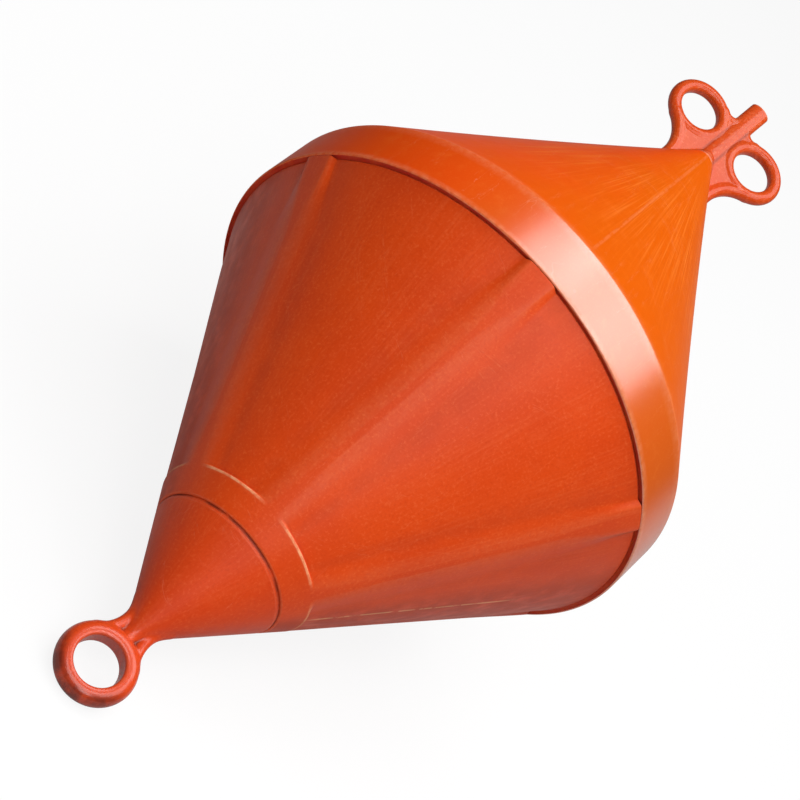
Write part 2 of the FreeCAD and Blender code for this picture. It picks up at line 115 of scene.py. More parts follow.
@dataclass(frozen=True)
class BuoyFrame:
    """The buoy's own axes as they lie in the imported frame.

    across points to the floor side, side runs along the frame's +Y, and along points to the top eyes.
    """

    origin: np.ndarray
    across: np.ndarray
    side: np.ndarray
    along: np.ndarray

    @classmethod
    def from_record(cls, record: dict[str, Any]) -> BuoyFrame:
        """Read the axes from the record's waterline mount.

        Args:
            record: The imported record.

        Returns:
            The buoy's frame, in metres.
        """
        mount = next(entry for entry in record["mounts"] if entry["name"] == "waterline")
        along = np.array(mount["axis"], dtype=float)
        along /= np.linalg.norm(along)
        side = np.array((0.0, 1.0, 0.0))
        return cls(np.array(mount["pos_m"], dtype=float), np.cross(side, along), side, along)

    def places(self, points: np.ndarray) -> np.ndarray:
        """Carry places in millimetres about the axis to the frame's metres."""
        return self.origin + self.turned(points) * MM

    def turned(self, vectors: np.ndarray) -> np.ndarray:
        """Turn vectors from the buoy's own axes to the frame's."""
        return np.asarray(vectors, dtype=float) @ np.array((self.across, self.side, self.along))


# --------------------------------------------------------------------------- shader arithmetic
class Signal:
    """A shader socket that can be written in expressions of values."""

    def __init__(self, graph: Graph, socket: bpy.types.NodeSocket) -> None:
        """Wrap one output socket of a graph."""
        self.graph = graph
        self.socket = socket

    def math(self, operation: str, *values: Signal | float) -> Signal:
        """Add a Math node on this value.

        Args:
            operation: Name of the Math node's operation.
            values: The further operands.

        Returns:
            The node's value.
        """
        return self.graph.node("ShaderNodeMath", {"operation": operation}, dict(enumerate((self, *values))))

    def __add__(self, other: Signal | float) -> Signal:
        """Add."""
        return self.math("ADD", other)

    def __sub__(self, other: Signal | float) -> Signal:
        """Subtract."""
        return self.math("SUBTRACT", other)

    def __rsub__(self, other: float) -> Signal:
        """Subtract this value from a number."""
        return self.graph.node("ShaderNodeMath", {"operation": "SUBTRACT"}, {0: other, 1: self})

    def __mul__(self, other: Signal | float) -> Signal:
        """Multiply."""
        return self.math("MULTIPLY", other)

    __radd__ = __add__
    __rmul__ = __mul__

    def step(self, low: float, high: float) -> Signal:
        """Rise smoothly from 0 at low to 1 at high, or fall where low is the higher.

        Args:
            low: Where it is 0.
            high: Where it is 1.

        Returns:
            The stepped value.
        """
        inputs = {"Value": self, "From Min": min(low, high), "From Max": max(low, high)}
        if low > high:
            inputs |= {"To Min": 1.0, "To Max": 0.0}
        return self.graph.node("ShaderNodeMapRange", {"interpolation_type": "SMOOTHSTEP"}, inputs)


class Graph:
    """The nodes of a material or of the world, from an empty tree to its surface."""

    def __init__(self, owner: bpy.types.Material | bpy.types.World) -> None:
        """Start the owner's nodes afresh."""
        self.owner = owner
        owner.use_nodes = True
        self.tree = owner.node_tree
        self.tree.nodes.clear()

    def node(
        self,
        kind: str,
        settings: dict[str, Any] | None = None,
        inputs: dict[str | int, Any] | None = None,
        output: str | int = 0,
    ) -> Signal:
        """Add one node.

        Args:
            kind: The node's type.
            settings: Its settings, set before its sockets.
            inputs: Values or links of its input sockets, by name or number.
            output: The output to return.

        Returns:
            That output.
        """
        made = self.tree.nodes.new(kind)
        for name, value in (settings or {}).items():
            setattr(made, name, value)
        for key, value in (inputs or {}).items():
            if isinstance(value, Signal):
                self.tree.links.new(value.socket, made.inputs[key])
            else:
                made.inputs[key].default_value = value
        return Signal(self, made.outputs[output])

    def mix(self, share: Signal | float, first: Signal | Colour, second: Signal | Colour) -> Signal:
        """Mix two colours.

        Args:
            share: How much of the second shows.
            first: The first colour.
            second: The second colour.

        Returns:
            The mixed colour.
        """
        sockets = {0: share, 6: self.paint(first), 7: self.paint(second)}
        return self.node("ShaderNodeMix", {"data_type": "RGBA"}, sockets, 2)

    @staticmethod
    def paint(colour: Signal | Colour) -> Any:
        """Give a plain colour its fourth number."""
        return colour if isinstance(colour, Signal) else (*colour, 1.0)

    def vector(self, operation: str, *values: Any, output: str | int = 0) -> Signal:
        """Add a Vector Math node.

        Args:
            operation: Name of the node's operation.
            values: Its operands: vectors, or a vector and a scale.
            output: The output to return.

        Returns:
            That output.
        """
        keys = (0, 3) if operation == "SCALE" else (0, 1)
        return self.node("ShaderNodeVectorMath", {"operation": operation}, dict(zip(keys, values)), output)

    def along(self, place: Signal, way: tuple[float, float, float]) -> Signal:
        """How far a place lies along a way from the axes' origin."""
        return self.vector("DOT_PRODUCT", place, way, output="Value")

    def outward(self, place: Signal) -> Signal:
        """The way straight out from the axis to a place, one unit long."""
        return self.vector("NORMALIZE", self.vector("MULTIPLY", place, (1.0, 1.0, 0.0)))

    def named(self, name: str, output: str = "Fac") -> Signal:
        """Read an attribute of the mesh."""
        return self.node("ShaderNodeAttribute", {"attribute_name": name}, {}, output)

    def ray(self, kind: str) -> Signal:
        """Whether the ray is of a kind."""
        return self.node("ShaderNodeLightPath", {}, {}, kind)

    def shaders(self, share: Signal | float, first: Signal, second: Signal) -> Signal:
        """Mix two shaders."""
        return self.node("ShaderNodeMixShader", {}, {0: share, 1: first, 2: second})

    def surface(self, shader: Signal) -> bpy.types.Material | bpy.types.World:
        """Use a shader as the owner's surface.

        Args:
            shader: The shader.

        Returns:
            The owner.
        """
        world = isinstance(self.owner, bpy.types.World)
        out = self.tree.nodes.new("ShaderNodeOutputWorld" if world else "ShaderNodeOutputMaterial")
        self.tree.links.new(shader.socket, out.inputs["Surface"])
        return self.owner


# --------------------------------------------------------------------------- finishes
@dataclass(frozen=True)
class Pattern:
    """A noise in the plastic.

    size is its scale, in mm where it reads plain places. detail and rough are its finer layers, and low
    and high the range of the noise that counts. show is its share in the colour, and roughen is what it
    adds to the roughness.
    """

    size: float
    detail: float = 2.0
    rough: float = 0.5
    low: float = 0.0
    high: float = 1.0
    show: float = 1.0
    roughen: float = 0.0

    def noise(self, graph: Graph, place: Signal) -> Signal:
        """The plain noise, around 0.5."""
        inputs = {"Vector": place, "Scale": 1 / self.size, "Detail": self.detail, "Roughness": self.rough}
        return graph.node("ShaderNodeTexNoise", {"noise_dimensions": "3D"}, inputs)

    def spread(self, graph: Graph, place: Signal) -> Signal:
        """The noise drawn out from 0 at low to 1 at high."""
        return self.noise(graph, place).step(self.low, self.high)


BLOTCH = Pattern(size=55.0, detail=3.0, rough=0.55, low=0.35, high=0.7, show=0.5)
MOTTLE = Pattern(size=9.0, detail=4.0, rough=0.6, low=0.5, high=0.8, show=0.12, roughen=0.16)
# wear, and painted highlights on lit edges
WEAR_AND_HIGHLIGHT = Pattern(size=3.5, detail=4.0, rough=0.65, low=0.35, high=0.65, show=0.85, roughen=0.12)
# breaks up the darkening of joints and painted shade
DARKENING_NOISE = Pattern(size=14.0, detail=3.0, rough=0.6, low=0.2, high=0.6, show=0.75, roughen=0.2)
# painted light: wavers the edge of the lit-side tint
LIT_SIDE_DRIFT = Pattern(size=70.0, show=0.5)
JOINT_BREAKS = Pattern(size=6.0, detail=3.0, rough=0.6, low=0.36, high=0.5)
FLOW = Pattern(size=1.0, rough=0.6, low=0.46, high=0.7)
FLOW_PATCHES = Pattern(size=80.0, low=0.25, high=0.55)
SCRATCH = Pattern(size=1.0, low=0.012, high=0.002, show=0.55, roughen=0.16)
SCRATCH_PATCHES = Pattern(size=1 / 0.31, detail=1.0, low=0.56, high=0.7)
RUBBED_SPOTS = Pattern(size=5.0, detail=5.0, rough=0.7, low=0.66, high=0.78, show=0.5)
RIPPLE = Pattern(size=7.0)

# How each set of scratches is turned, in radians, and how its noise is drawn out into lines.
SCRATCH_WAYS = (((0.3, 0.9, 0.4), (0.03, 0.7, 0.06)), ((1.1, 0.2, 0.8), (0.6, 0.025, 0.05)))


@dataclass(frozen=True)
class PartingLine:
    """The broken trace that the mould's joint leaves along one side, from start up to end.

    angle is in degrees about the axis. The line is full within core and gone beyond half_width, and it
    fades out where it is nearer to the axis than one_side, so that the other side has none.
    """

    angle: float
    start: float
    end: float
    show: float
    half_width: float = 1.25
    core: float = 0.6
    fade_in: float = 10.0
    fade_out: float = 15.0
    one_side: float = 5.0

    def mark(self, graph: Graph, place: Signal) -> Signal:
        """Draw the line.

        Args:
            graph: The material's nodes.
            place: The place about the axis.

        Returns:
            0 away from the line and up to 1 on it.
        """
        angle = math.radians(self.angle)
        off = graph.along(place, (-math.sin(angle), math.cos(angle), 0.0))
        out = graph.along(place, (math.cos(angle), math.sin(angle), 0.0))
        height = graph.along(place, AXIS)
        ends = height.step(self.end, self.end - self.fade_out)
        ends = ends * height.step(self.start, self.start + self.fade_in)
        line = off.math("ABSOLUTE").step(self.half_width, self.core) * out.step(0.0, self.one_side)
        return line * JOINT_BREAKS.spread(graph, place) * self.show * ends


@dataclass(frozen=True)
class FlowLines:
    """Fine lines that run along the cones, where the plastic flowed or was brushed.

    They begin at the height start, are full from full on, and fade out over the last fade_out mm before
    end. lines sets how close they stand round the axis, and a smaller draw makes each one longer.
    """

    show: float
    start: float
    full: float
    end: float = 1000.0
    fade_out: float = 90.0
    lines: float = 80.0
    draw: float = 0.013

    def mark(self, graph: Graph, place: Signal) -> Signal:
        """Draw the lines.

        Args:
            graph: The material's nodes.
            place: The place about the axis.

        Returns:
            0 between the lines and 1 on them.
        """
        around = graph.vector("SCALE", graph.outward(place), self.lines)
        rise = graph.vector("MULTIPLY", place, (0.0, 0.0, self.draw))
        height = graph.along(place, AXIS)
        ends = height.step(self.start, self.full) * height.step(self.end, self.end - self.fade_out)
        lines = FLOW.spread(graph, graph.vector("ADD", around, rise))
        return lines * FLOW_PATCHES.spread(graph, place) * ends


@dataclass(frozen=True)
class ClearCoat:
    """The glossier skin of a piece; where it has a top, it lies only below that height."""

    weight: float = 0.0
    roughness: float = 0.3
    ior: float = 1.5
    top: float | None = None
    blend: float = 0.6


@dataclass(frozen=True)
class Relief:
    """Heights of the plastic's fine relief, in mm."""

    grain: float = 0.05
    ripple: float = 0.22
    flow: float = 0.02
    scuff: float = 0.03


@dataclass(frozen=True)
class Grain:
    """Fine bumps that turn light and pits that turn deep, by the range of their noise."""

    strength: float
    size: float
    bumps: Span = (0.52, 0.75)
    pits: Span = (0.48, 0.25)
    bumps_show: float = 0.3
    pits_show: float = 0.35
    roughen: float = 0.1


@dataclass(frozen=True)
class MouldedPlastic:
    """Moulded polyethylene: body colour, flow lines, grain, scuffs, wear, dark joints, painted light and
    shade.
    """

    name: str
    body: Colour
    light: Colour
    deep: Colour
    wear_and_highlight: Colour
    joint_and_shade: Colour
    roughness: float
    gloss: float
    flow: FlowLines
    grain: Grain
    peel: float
    scuffs: float
    coat: ClearCoat = ClearCoat()
    # painted light: an oranger copy of the body colour for the lit side, spread over the span fade
    lit_side_tint: Colour | None = None
    fade: Span = (0.75, -0.1)
    parting: PartingLine | None = None
    relief: Relief = Relief()
    least_wear: float = 0.4

    def material(self) -> bpy.types.Material:
        """Build the finish.

        Returns:
            The material.
        """
        graph = Graph(bpy.data.materials.new(self.name))
        place = graph.named(PLACE, "Vector")
        flow = self.flow.mark(graph, place)
        mottle = MOTTLE.noise(graph, place)
        grain = Pattern(self.grain.size, rough=0.6).noise(graph, place)
        scuff = self.scuff_marks(graph, place)

        colour = graph.mix(BLOTCH.spread(graph, place) * BLOTCH.show, self.body, self.deep)
        weight: Signal | float = self.coat.weight
        # painted light: the lit side takes the lit-side tint, and the coat lies only there
        if self.lit_side_tint:
            lit_side = self.lit_side_share(graph, place)
            colour = graph.mix(lit_side, colour, self.lit_side_tint)
            weight = lit_side * weight
        if self.coat.top is not None:
            top, blend = self.coat.top, self.coat.blend
            weight = graph.along(place, AXIS).step(top + blend, top - blend) * weight
        colour = graph.mix(mottle.step(MOTTLE.low, MOTTLE.high) * MOTTLE.show, colour, self.light)
        colour = graph.mix(flow * self.flow.show, colour, self.light)
        bumps = grain.step(*self.grain.bumps) * self.grain.strength * self.grain.bumps_show
        pits = grain.step(*self.grain.pits) * self.grain.strength * self.grain.pits_show
        colour = graph.mix(bumps, colour, self.light)
        colour = graph.mix(pits, colour, self.deep)
        colour = graph.mix(scuff * SCRATCH.show, colour, self.wear_and_highlight)
        # worn colour on edges: wear, and on some edges a painted highlight
        wear_and_highlight_mark = WEAR_AND_HIGHLIGHT.spread(graph, place) * (1 - self.least_wear) + self.least_wear
        wear_and_highlight_mark = graph.named(Mask.EDGE.value) * wear_and_highlight_mark
        if self.parting:
            wear_and_highlight_mark = wear_and_highlight_mark.math("MAXIMUM", self.parting.mark(graph, place))
        colour = graph.mix(wear_and_highlight_mark * WEAR_AND_HIGHLIGHT.show, colour, self.wear_and_highlight)
        # dark joints, and painted shade in creases, recesses and on the floor side
        darkening = graph.named(Mask.VALLEY.value) * DARKENING_NOISE.spread(graph, place)
        colour = graph.mix(darkening * DARKENING_NOISE.show, colour, self.joint_and_shade)

        roughness = (mottle - 0.5) * MOTTLE.roughen + self.roughness + scuff * SCRATCH.roughen
        roughness = roughness + wear_and_highlight_mark * WEAR_AND_HIGHLIGHT.roughen + darkening * DARKENING_NOISE.roughen + (grain - 0.5) * self.grain.roughen
        inputs = {
            "Base Color": colour,
            "Roughness": roughness,
            "Normal": self.bumped(graph, place, grain, flow, scuff),
            "Specular IOR Level": self.gloss,
            "Coat Weight": weight,
            "Coat Roughness": self.coat.roughness,
            "Coat IOR": self.coat.ior,
        }
        return graph.surface(graph.node("ShaderNodeBsdfPrincipled", {}, inputs))

    def lit_side_share(self, graph: Graph, place: Signal) -> Signal:
        """How far the painted lit-side tint shows: painted light, oranger on the side that the key lamps
        light.

        Args:
            graph: The material's nodes.
            place: The place about the axis.

        Returns:
            0 on the shaded side and 1 on the lit one.
        """
        side = graph.along(graph.outward(place), (0.0, 1.0, 0.0))
        drift = (LIT_SIDE_DRIFT.noise(graph, place) - 0.5) * LIT_SIDE_DRIFT.show
        return (side + drift).step(*self.fade)

    def scuff_marks(self, graph: Graph, place: Signal) -> Signal:
        """Scattered hair-fine scratches and rubbed spots.

        Args:
            graph: The material's nodes.
            place: The place about the axis.

        Returns:
            0 on clean plastic and 1 in a mark.
        """
        total = RUBBED_SPOTS.spread(graph, place) * RUBBED_SPOTS.show
        for turn, stretch in SCRATCH_WAYS:
            inputs = {"Vector": place, "Rotation": turn, "Scale": stretch}
            mapped = graph.node("ShaderNodeMapping", {}, inputs)
            off = (SCRATCH.noise(graph, mapped) - 0.5).math("ABSOLUTE")
            total = off.step(SCRATCH.low, SCRATCH.high) * SCRATCH_PATCHES.spread(graph, mapped) + total
        return total.math("MINIMUM", 1.0) * self.scuffs

    def bumped(self, graph: Graph, place: Signal, grain: Signal, flow: Signal, scuff: Signal) -> Signal:
        """Raise the surface's fine relief.

        Args:
            graph: The material's nodes.
            place: The place about the axis.
            grain: The fine grain.
            flow: The flow lines.
            scuff: The scuff marks.

        Returns:
            The bumped normal.
        """
        heights = self.relief
        height = grain * (heights.grain * self.grain.strength)
        height = height + RIPPLE.noise(graph, place) * (heights.ripple * self.peel)
        height = height + flow * heights.flow - scuff * heights.scuff
        return graph.node("ShaderNodeBump", {}, {"Strength": 1.0, "Distance": MM, "Height": height})


@dataclass(frozen=True)
class PaleFloor:
    """A matt white floor that shows the camera a white ground and keeps the object's shadow."""

    colour: Colour = (0.90, 0.90, 0.90)
    bounce: Colour = (0.42, 0.42, 0.42)
    lift: float = 0.88
    glossy_lift: float = 0.2

    def material(self) -> bpy.types.Material:
        """Build the finish.

        Returns:
            The material.
        """
        graph = Graph(bpy.data.materials.new("pale_floor"))
        glow = graph.node("ShaderNodeEmission", {}, {"Color": WHITE, "Strength": 1.0})
        mirrored = graph.ray("Is Glossy Ray") * self.glossy_lift
        around = graph.shaders(mirrored, self.matt(graph, self.bounce), glow)
        shown = graph.shaders(self.lift, self.matt(graph, self.colour), glow)
        return graph.surface(graph.shaders(graph.ray("Is Camera Ray"), around, shown))

    @staticmethod
    def matt(graph: Graph, colour: Colour) -> Signal:
        """Add a matt shader of one colour."""
        inputs = {"Base Color": Graph.paint(colour), "Roughness": 0.95, "Specular IOR Level": 0.1}
        return graph.node("ShaderNodeBsdfPrincipled", {}, inputs)


# --------------------------------------------------------------------------- meshes
@dataclass
class Skin:
    """A mesh in the making: places in mm about the axis, faces, and the masks for its finish."""

    points: np.ndarray
    faces: list[Sequence[int]] | np.ndarray
    masks: dict[Mask, np.ndarray]

    def into_object(self, name: str, frame: BuoyFrame, finish: MouldedPlastic) -> bpy.types.Object:
        """Make the object, smooth shaded, with its masks and its finish.

        Args:
            name: The piece's name.
            frame: Where the buoy lies.
            finish: What it is made of.

        Returns:
            The object.
        """
        mesh = bpy.data.meshes.new(name)
        faces = self.faces.tolist() if isinstance(self.faces, np.ndarray) else self.faces
        mesh.from_pydata(frame.places(self.points).tolist(), [], faces)
        mesh.polygons.foreach_set("use_smooth", np.ones(len(mesh.polygons), dtype=bool))
        place = mesh.attributes.new(PLACE, "FLOAT_VECTOR", "POINT")
        place.data.foreach_set("vector", self.points.astype(np.float32).ravel())
        for mask, values in self.masks.items():
            layer = mesh.attributes.new(mask.value, "FLOAT", "POINT")
            layer.data.foreach_set("value", np.clip(values, 0, 1).astype(np.float32))
        mesh.update()
        made = bpy.data.objects.new(name, mesh)
        bpy.context.scene.collection.objects.link(made)
        mesh.materials.append(finish.material())
        return made


def smooth_step(low: float, high: float, values: np.ndarray | float) -> np.ndarray:
    """Rise smoothly from 0 at low to 1 at high, or fall where low is the higher."""
    share = np.clip((values - low) / (high - low), 0.0, 1.0)
    return share * share * (3.0 - 2.0 * share)


def ring_faces(rows: int, columns: int) -> list[tuple[int, ...]]:
    """Join rows of points that run all round the axis, and close both ends with a fan.

    Args:
        rows: Number of rows, from bottom to top.
        columns: Points in each row.

    Returns:
        The faces; the fans' middle points are the two after the last row, bottom first.
    """
    faces: list[tuple[int, ...]] = []
    for row in range(rows - 1):
        low = row * columns
        for column in range(columns):
            after = (column + 1) % columns
            faces.append((low + column, low + after, low + columns + after, low + columns + column))
    bottom = rows * columns
    last = (rows - 1) * columns
    for column in range(columns):
        after = (column + 1) % columns
        faces.append((bottom, after, column))
        faces.append((bottom + 1, last + column, last + after))
    return faces


def rounded(corners: Sequence[tuple[float, float, float]], steps: int) -> np.ndarray:
    """Round the corners of an open outline.

    Args:
        corners: Across, up and rounding radius of each corner.
        steps: Pieces in each rounding.

    Returns:
        The outline's points.
    """
    points = [np.array(corners[0][:2])]
    for before, here, after in zip(corners, corners[1:], corners[2:]):
        corner = np.array(here[:2])
        back = np.array(before[:2]) - corner
        ahead = np.array(after[:2]) - corner
        back /= np.linalg.norm(back)
        ahead /= np.linalg.norm(ahead)
        half = math.acos(float(np.clip(back @ ahead, -1, 1))) / 2
        if here[2] <= 0 or half > STRAIGHT:
            points.append(corner)
            continue
        centre = corner + (back + ahead) / np.linalg.norm(back + ahead) * (here[2] / math.sin(half))
        reach = here[2] / math.tan(half)
        start = corner + back * reach - centre
        end = corner + ahead * reach - centre
        sweep = math.pi - 2 * half
        for index in range(steps + 1):
            share = index / steps
            arm = (math.sin((1 - share) * sweep) * start + math.sin(share * sweep) * end) / math.sin(sweep)
            points.append(centre + arm)
    points.append(np.array(corners[-1][:2]))
    return np.array(points)


# --------------------------------------------------------------------------- solids by distance
def joined(first: np.ndarray, second: np.ndarray, soft: float) -> np.ndarray:
    """Join two solids with a rounded valley between them."""
    near = np.maximum(soft - np.abs(first - second), 0.0) / soft
    return np.minimum(first, second) - near * near * (soft / 4)


def shared(first: np.ndarray, second: np.ndarray, soft: float) -> np.ndarray:
    """Keep what two solids share, with a rounded edge."""
    return -joined(-first, -second, soft)


@dataclass(frozen=True)
class ArcBar:
    """A round bar bent to an arc in the plate's plane, one on each side of the axis.

    Angles run from +Y towards +Z, in radians; the bar's radius goes from bar to bar_end.
    """

    y: float
    z: float
    bend: float
    bar: float
    start: float
    end: float
    bar_end: float | None = None

    def distance(self, x: np.ndarray, y: np.ndarray, z: np.ndarray) -> np.ndarray:
        """Distance of places to the bar's surface.

        Args:
            x: The places' distances from the plate's plane.
            y: Their places along the plate.
            z: Their heights.

        Returns:
            The distances, less than 0 inside.
        """
        beside = np.abs(y) - self.y
        above = z - self.z
        middle = (self.start + self.end) / 2
        half = (self.end - self.start) / 2
        turn = np.arctan2(above, beside) - middle
        turn = (turn + math.pi) % (2 * math.pi) - math.pi
        turn = np.clip(turn, -half, half)
        bar_end = self.bar if self.bar_end is None else self.bar_end
        bar = self.bar + (bar_end - self.bar) * (turn + half) / (2 * half)
        near_y = beside - self.bend * np.cos(turn + middle)
        near_z = above - self.bend * np.sin(turn + middle)
        return np.sqrt(near_y**2 + near_z**2 + x**2) - bar


@dataclass(frozen=True)
class Mould:
    """Turns a distance function into a fine mesh whose points lie on its surface.

    low and high are the corners of the grid of cells. Blocks of cells further from the surface than
    slack allows are left out, and the others are worked out in batches. evening is how far the points
    are evened out in each round of settling, probe is the share of a cell over which the slope is
    read, and bend_reach is the length in mm over which the bend is.
    """

    distance: Distance
    low: tuple[float, float, float]
    high: tuple[float, float, float]
    cell: float
    block: int = 6
    slack: float = 1.25
    batch: int = 400000
    evening: tuple[float, ...] = (0.5, 0.5, 0.3, 0.0, 0.0)
    probe: float = 0.2
    least_slope: float = 0.05
    bend_reach: float = 0.8
    edge_bend: Span = (0.25, 0.7)
    valley_bend: Span = (-0.12, -0.7)

    def skin(self) -> Skin:
        """Mesh the surface.

        Returns:
            The skin, with the edge and valley masks from how the surface bends.
        """
        points, quads = self.netted(self.sampled())
        points = self.settled(points, quads)
        bend = self.bending(points)
        # the valley mask darkens creases in the finish: painted shade
        edge, valley = smooth_step(*self.edge_bend, bend), smooth_step(*self.valley_bend, bend)
        return Skin(points, quads, {Mask.EDGE: edge, Mask.VALLEY: valley})

    def sampled(self) -> np.ndarray:
        """Distances on a grid, worked out only in the blocks that the surface may cross.

        Returns:
            The distances, which are FAR or -FAR in the other blocks.
        """
        span = self.cell * self.block
        counts = [int(math.ceil((b - a) / span)) + 1 for a, b in zip(self.low, self.high)]
        middles = np.stack(np.meshgrid(*[np.arange(n) for n in counts], indexing="ij"), -1) * span
        middles = middles.reshape(-1, 3) + np.array(self.low) + (span - self.cell) / 2
        rough = self.distance(middles).reshape(counts)
        reach = span * math.sqrt(3) / 2 * self.slack + 2 * self.cell
        values = np.where(rough > 0, FAR, -FAR).astype(np.float32)
        for axis in range(3):
            values = np.repeat(values, self.block, axis=axis)
        inner = np.stack(np.meshgrid(*[np.arange(self.block)] * 3, indexing="ij"), -1).reshape(-1, 3)
        blocks = np.argwhere(np.abs(rough) < reach)
        nodes = (blocks[:, None, :] * self.block + inner[None]).reshape(-1, 3)
        for part in np.array_split(nodes, max(1, len(nodes) // self.batch)):
            exact = self.distance(part * self.cell + np.array(self.low))
            values[part[:, 0], part[:, 1], part[:, 2]] = exact
        return values

    def netted(self, values: np.ndarray) -> tuple[np.ndarray, np.ndarray]:
        """Put one point in each crossed cell and a quad round each crossed grid line.

        Args:
            values: Distances on the grid.

        Returns:
            The points in mm, and the quads.
        """
        inside = values < 0
        total = np.zeros(tuple(n - 1 for n in values.shape), dtype=np.int8)
        corners = [(i, j, k) for i in (0, 1) for j in (0, 1) for k in (0, 1)]
        for i, j, k in corners:
            total += inside[i: i + total.shape[0], j: j + total.shape[1], k: k + total.shape[2]]
        cells = np.argwhere((total > 0) & (total < 8))
        number = np.full(total.shape, -1, dtype=np.int32)
        number[tuple(cells.T)] = np.arange(len(cells))
        sums = np.zeros((len(cells), 3))
        hits = np.zeros(len(cells))
        for first in corners:
            for axis in range(3):
                if first[axis]:
                    continue
                second = list(first)
                second[axis] = 1
                near = values[tuple((cells + first).T)]
                far = values[tuple((cells + second).T)]
                crossed = (near < 0) != (far < 0)
                share = np.where(crossed, near / np.where(crossed, near - far, 1.0), 0.0)
                place = np.array(first, dtype=float)[None].repeat(len(cells), 0)
                place[:, axis] = share
                sums += np.where(crossed[:, None], place, 0.0)
                hits += crossed
        points = (cells + sums / hits[:, None]) * self.cell + np.array(self.low)
        quads = []
        for axis in range(3):
            ahead = np.zeros(3, dtype=int)
            ahead[axis] = 1
            left = np.zeros(3, dtype=int)
            left[(axis + 1) % 3] = -1
            down = np.zeros(3, dtype=int)
            down[(axis + 2) % 3] = -1
            low_side = inside[1:-1, 1:-1, 1:-1]
            window = tuple(slice(1 + a, n - 1 + a) for a, n in zip(ahead, values.shape))
            high_side = inside[window]
            lines = np.argwhere(low_side != high_side) + 1
            around = [number[tuple((lines + shift).T)] for shift in (0 * left, left, left + down, down)]
            quad = np.stack(around, -1)
            outward = inside[tuple(lines.T)]
            quad = np.where(outward[:, None], quad, quad[:, ::-1])
            quads.append(quad[(quad >= 0).all(1)])
        return points, np.concatenate(quads)

    def slope(self, points: np.ndarray, reach: float) -> np.ndarray:
        """The way in which the distance grows fastest at each point.

        Args:
            points: The points.
            reach: How far on either side it is read, in mm.

        Returns:
            The ways.
        """
        result = np.empty_like(points)
        for axis in range(3):
            shift = np.zeros(3)
            shift[axis] = reach
            result[:, axis] = (self.distance(points + shift) - self.distance(points - shift)) / (2 * reach)
        return result

    def settled(self, points: np.ndarray, quads: np.ndarray) -> np.ndarray:
        """Even out the points along the surface and draw them onto it.

        Args:
            points: The net's points.
            quads: Its faces.

        Returns:
            The settled points.
        """
        for even in self.evening:
            if even:
                sums = np.zeros_like(points)
                count = np.zeros(len(points))
                for shift in (1, 3):
                    others = np.roll(quads, shift, axis=1)
                    for axis in range(3):
                        sums[:, axis] += np.bincount(quads.ravel(), points[others.ravel(), axis], len(points))
                    count += np.bincount(quads.ravel(), minlength=len(points))
                points = points + (sums / np.maximum(count, 1)[:, None] - points) * even
            way = self.slope(points, self.cell * self.probe)
            size = np.maximum((way**2).sum(1), self.least_slope)
            move = np.clip(self.distance(points) / size, -self.cell, self.cell)
            points = points - way * move[:, None]
        return points

    def bending(self, points: np.ndarray) -> np.ndarray:
        """How sharply the surface bends, per mm.

        Args:
            points: Points on the surface.

        Returns:
            Numbers above 0 on edges and below 0 in valleys.
        """
        total = -6.0 * self.distance(points)
        for axis in range(3):
            for way in (self.bend_reach, -self.bend_reach):
                shift = np.zeros(3)
                shift[axis] = way
                total = total + self.distance(points + shift)
        return total / self.bend_reach**2


# --------------------------------------------------------------------------- the buoy's pieces
@dataclass(frozen=True)
class Trace:
    """A narrow trace, used for wear, painted highlights and painted shade: full within core of its place and
    gone beyond reach.
    """

    at: float
    reach: float
    core: float
    weight: float

    def mark(self, values: np.ndarray) -> np.ndarray:
        """The trace's strength at each value."""
        return smooth_step(self.reach, self.core, np.abs(values - self.at)) * self.weight


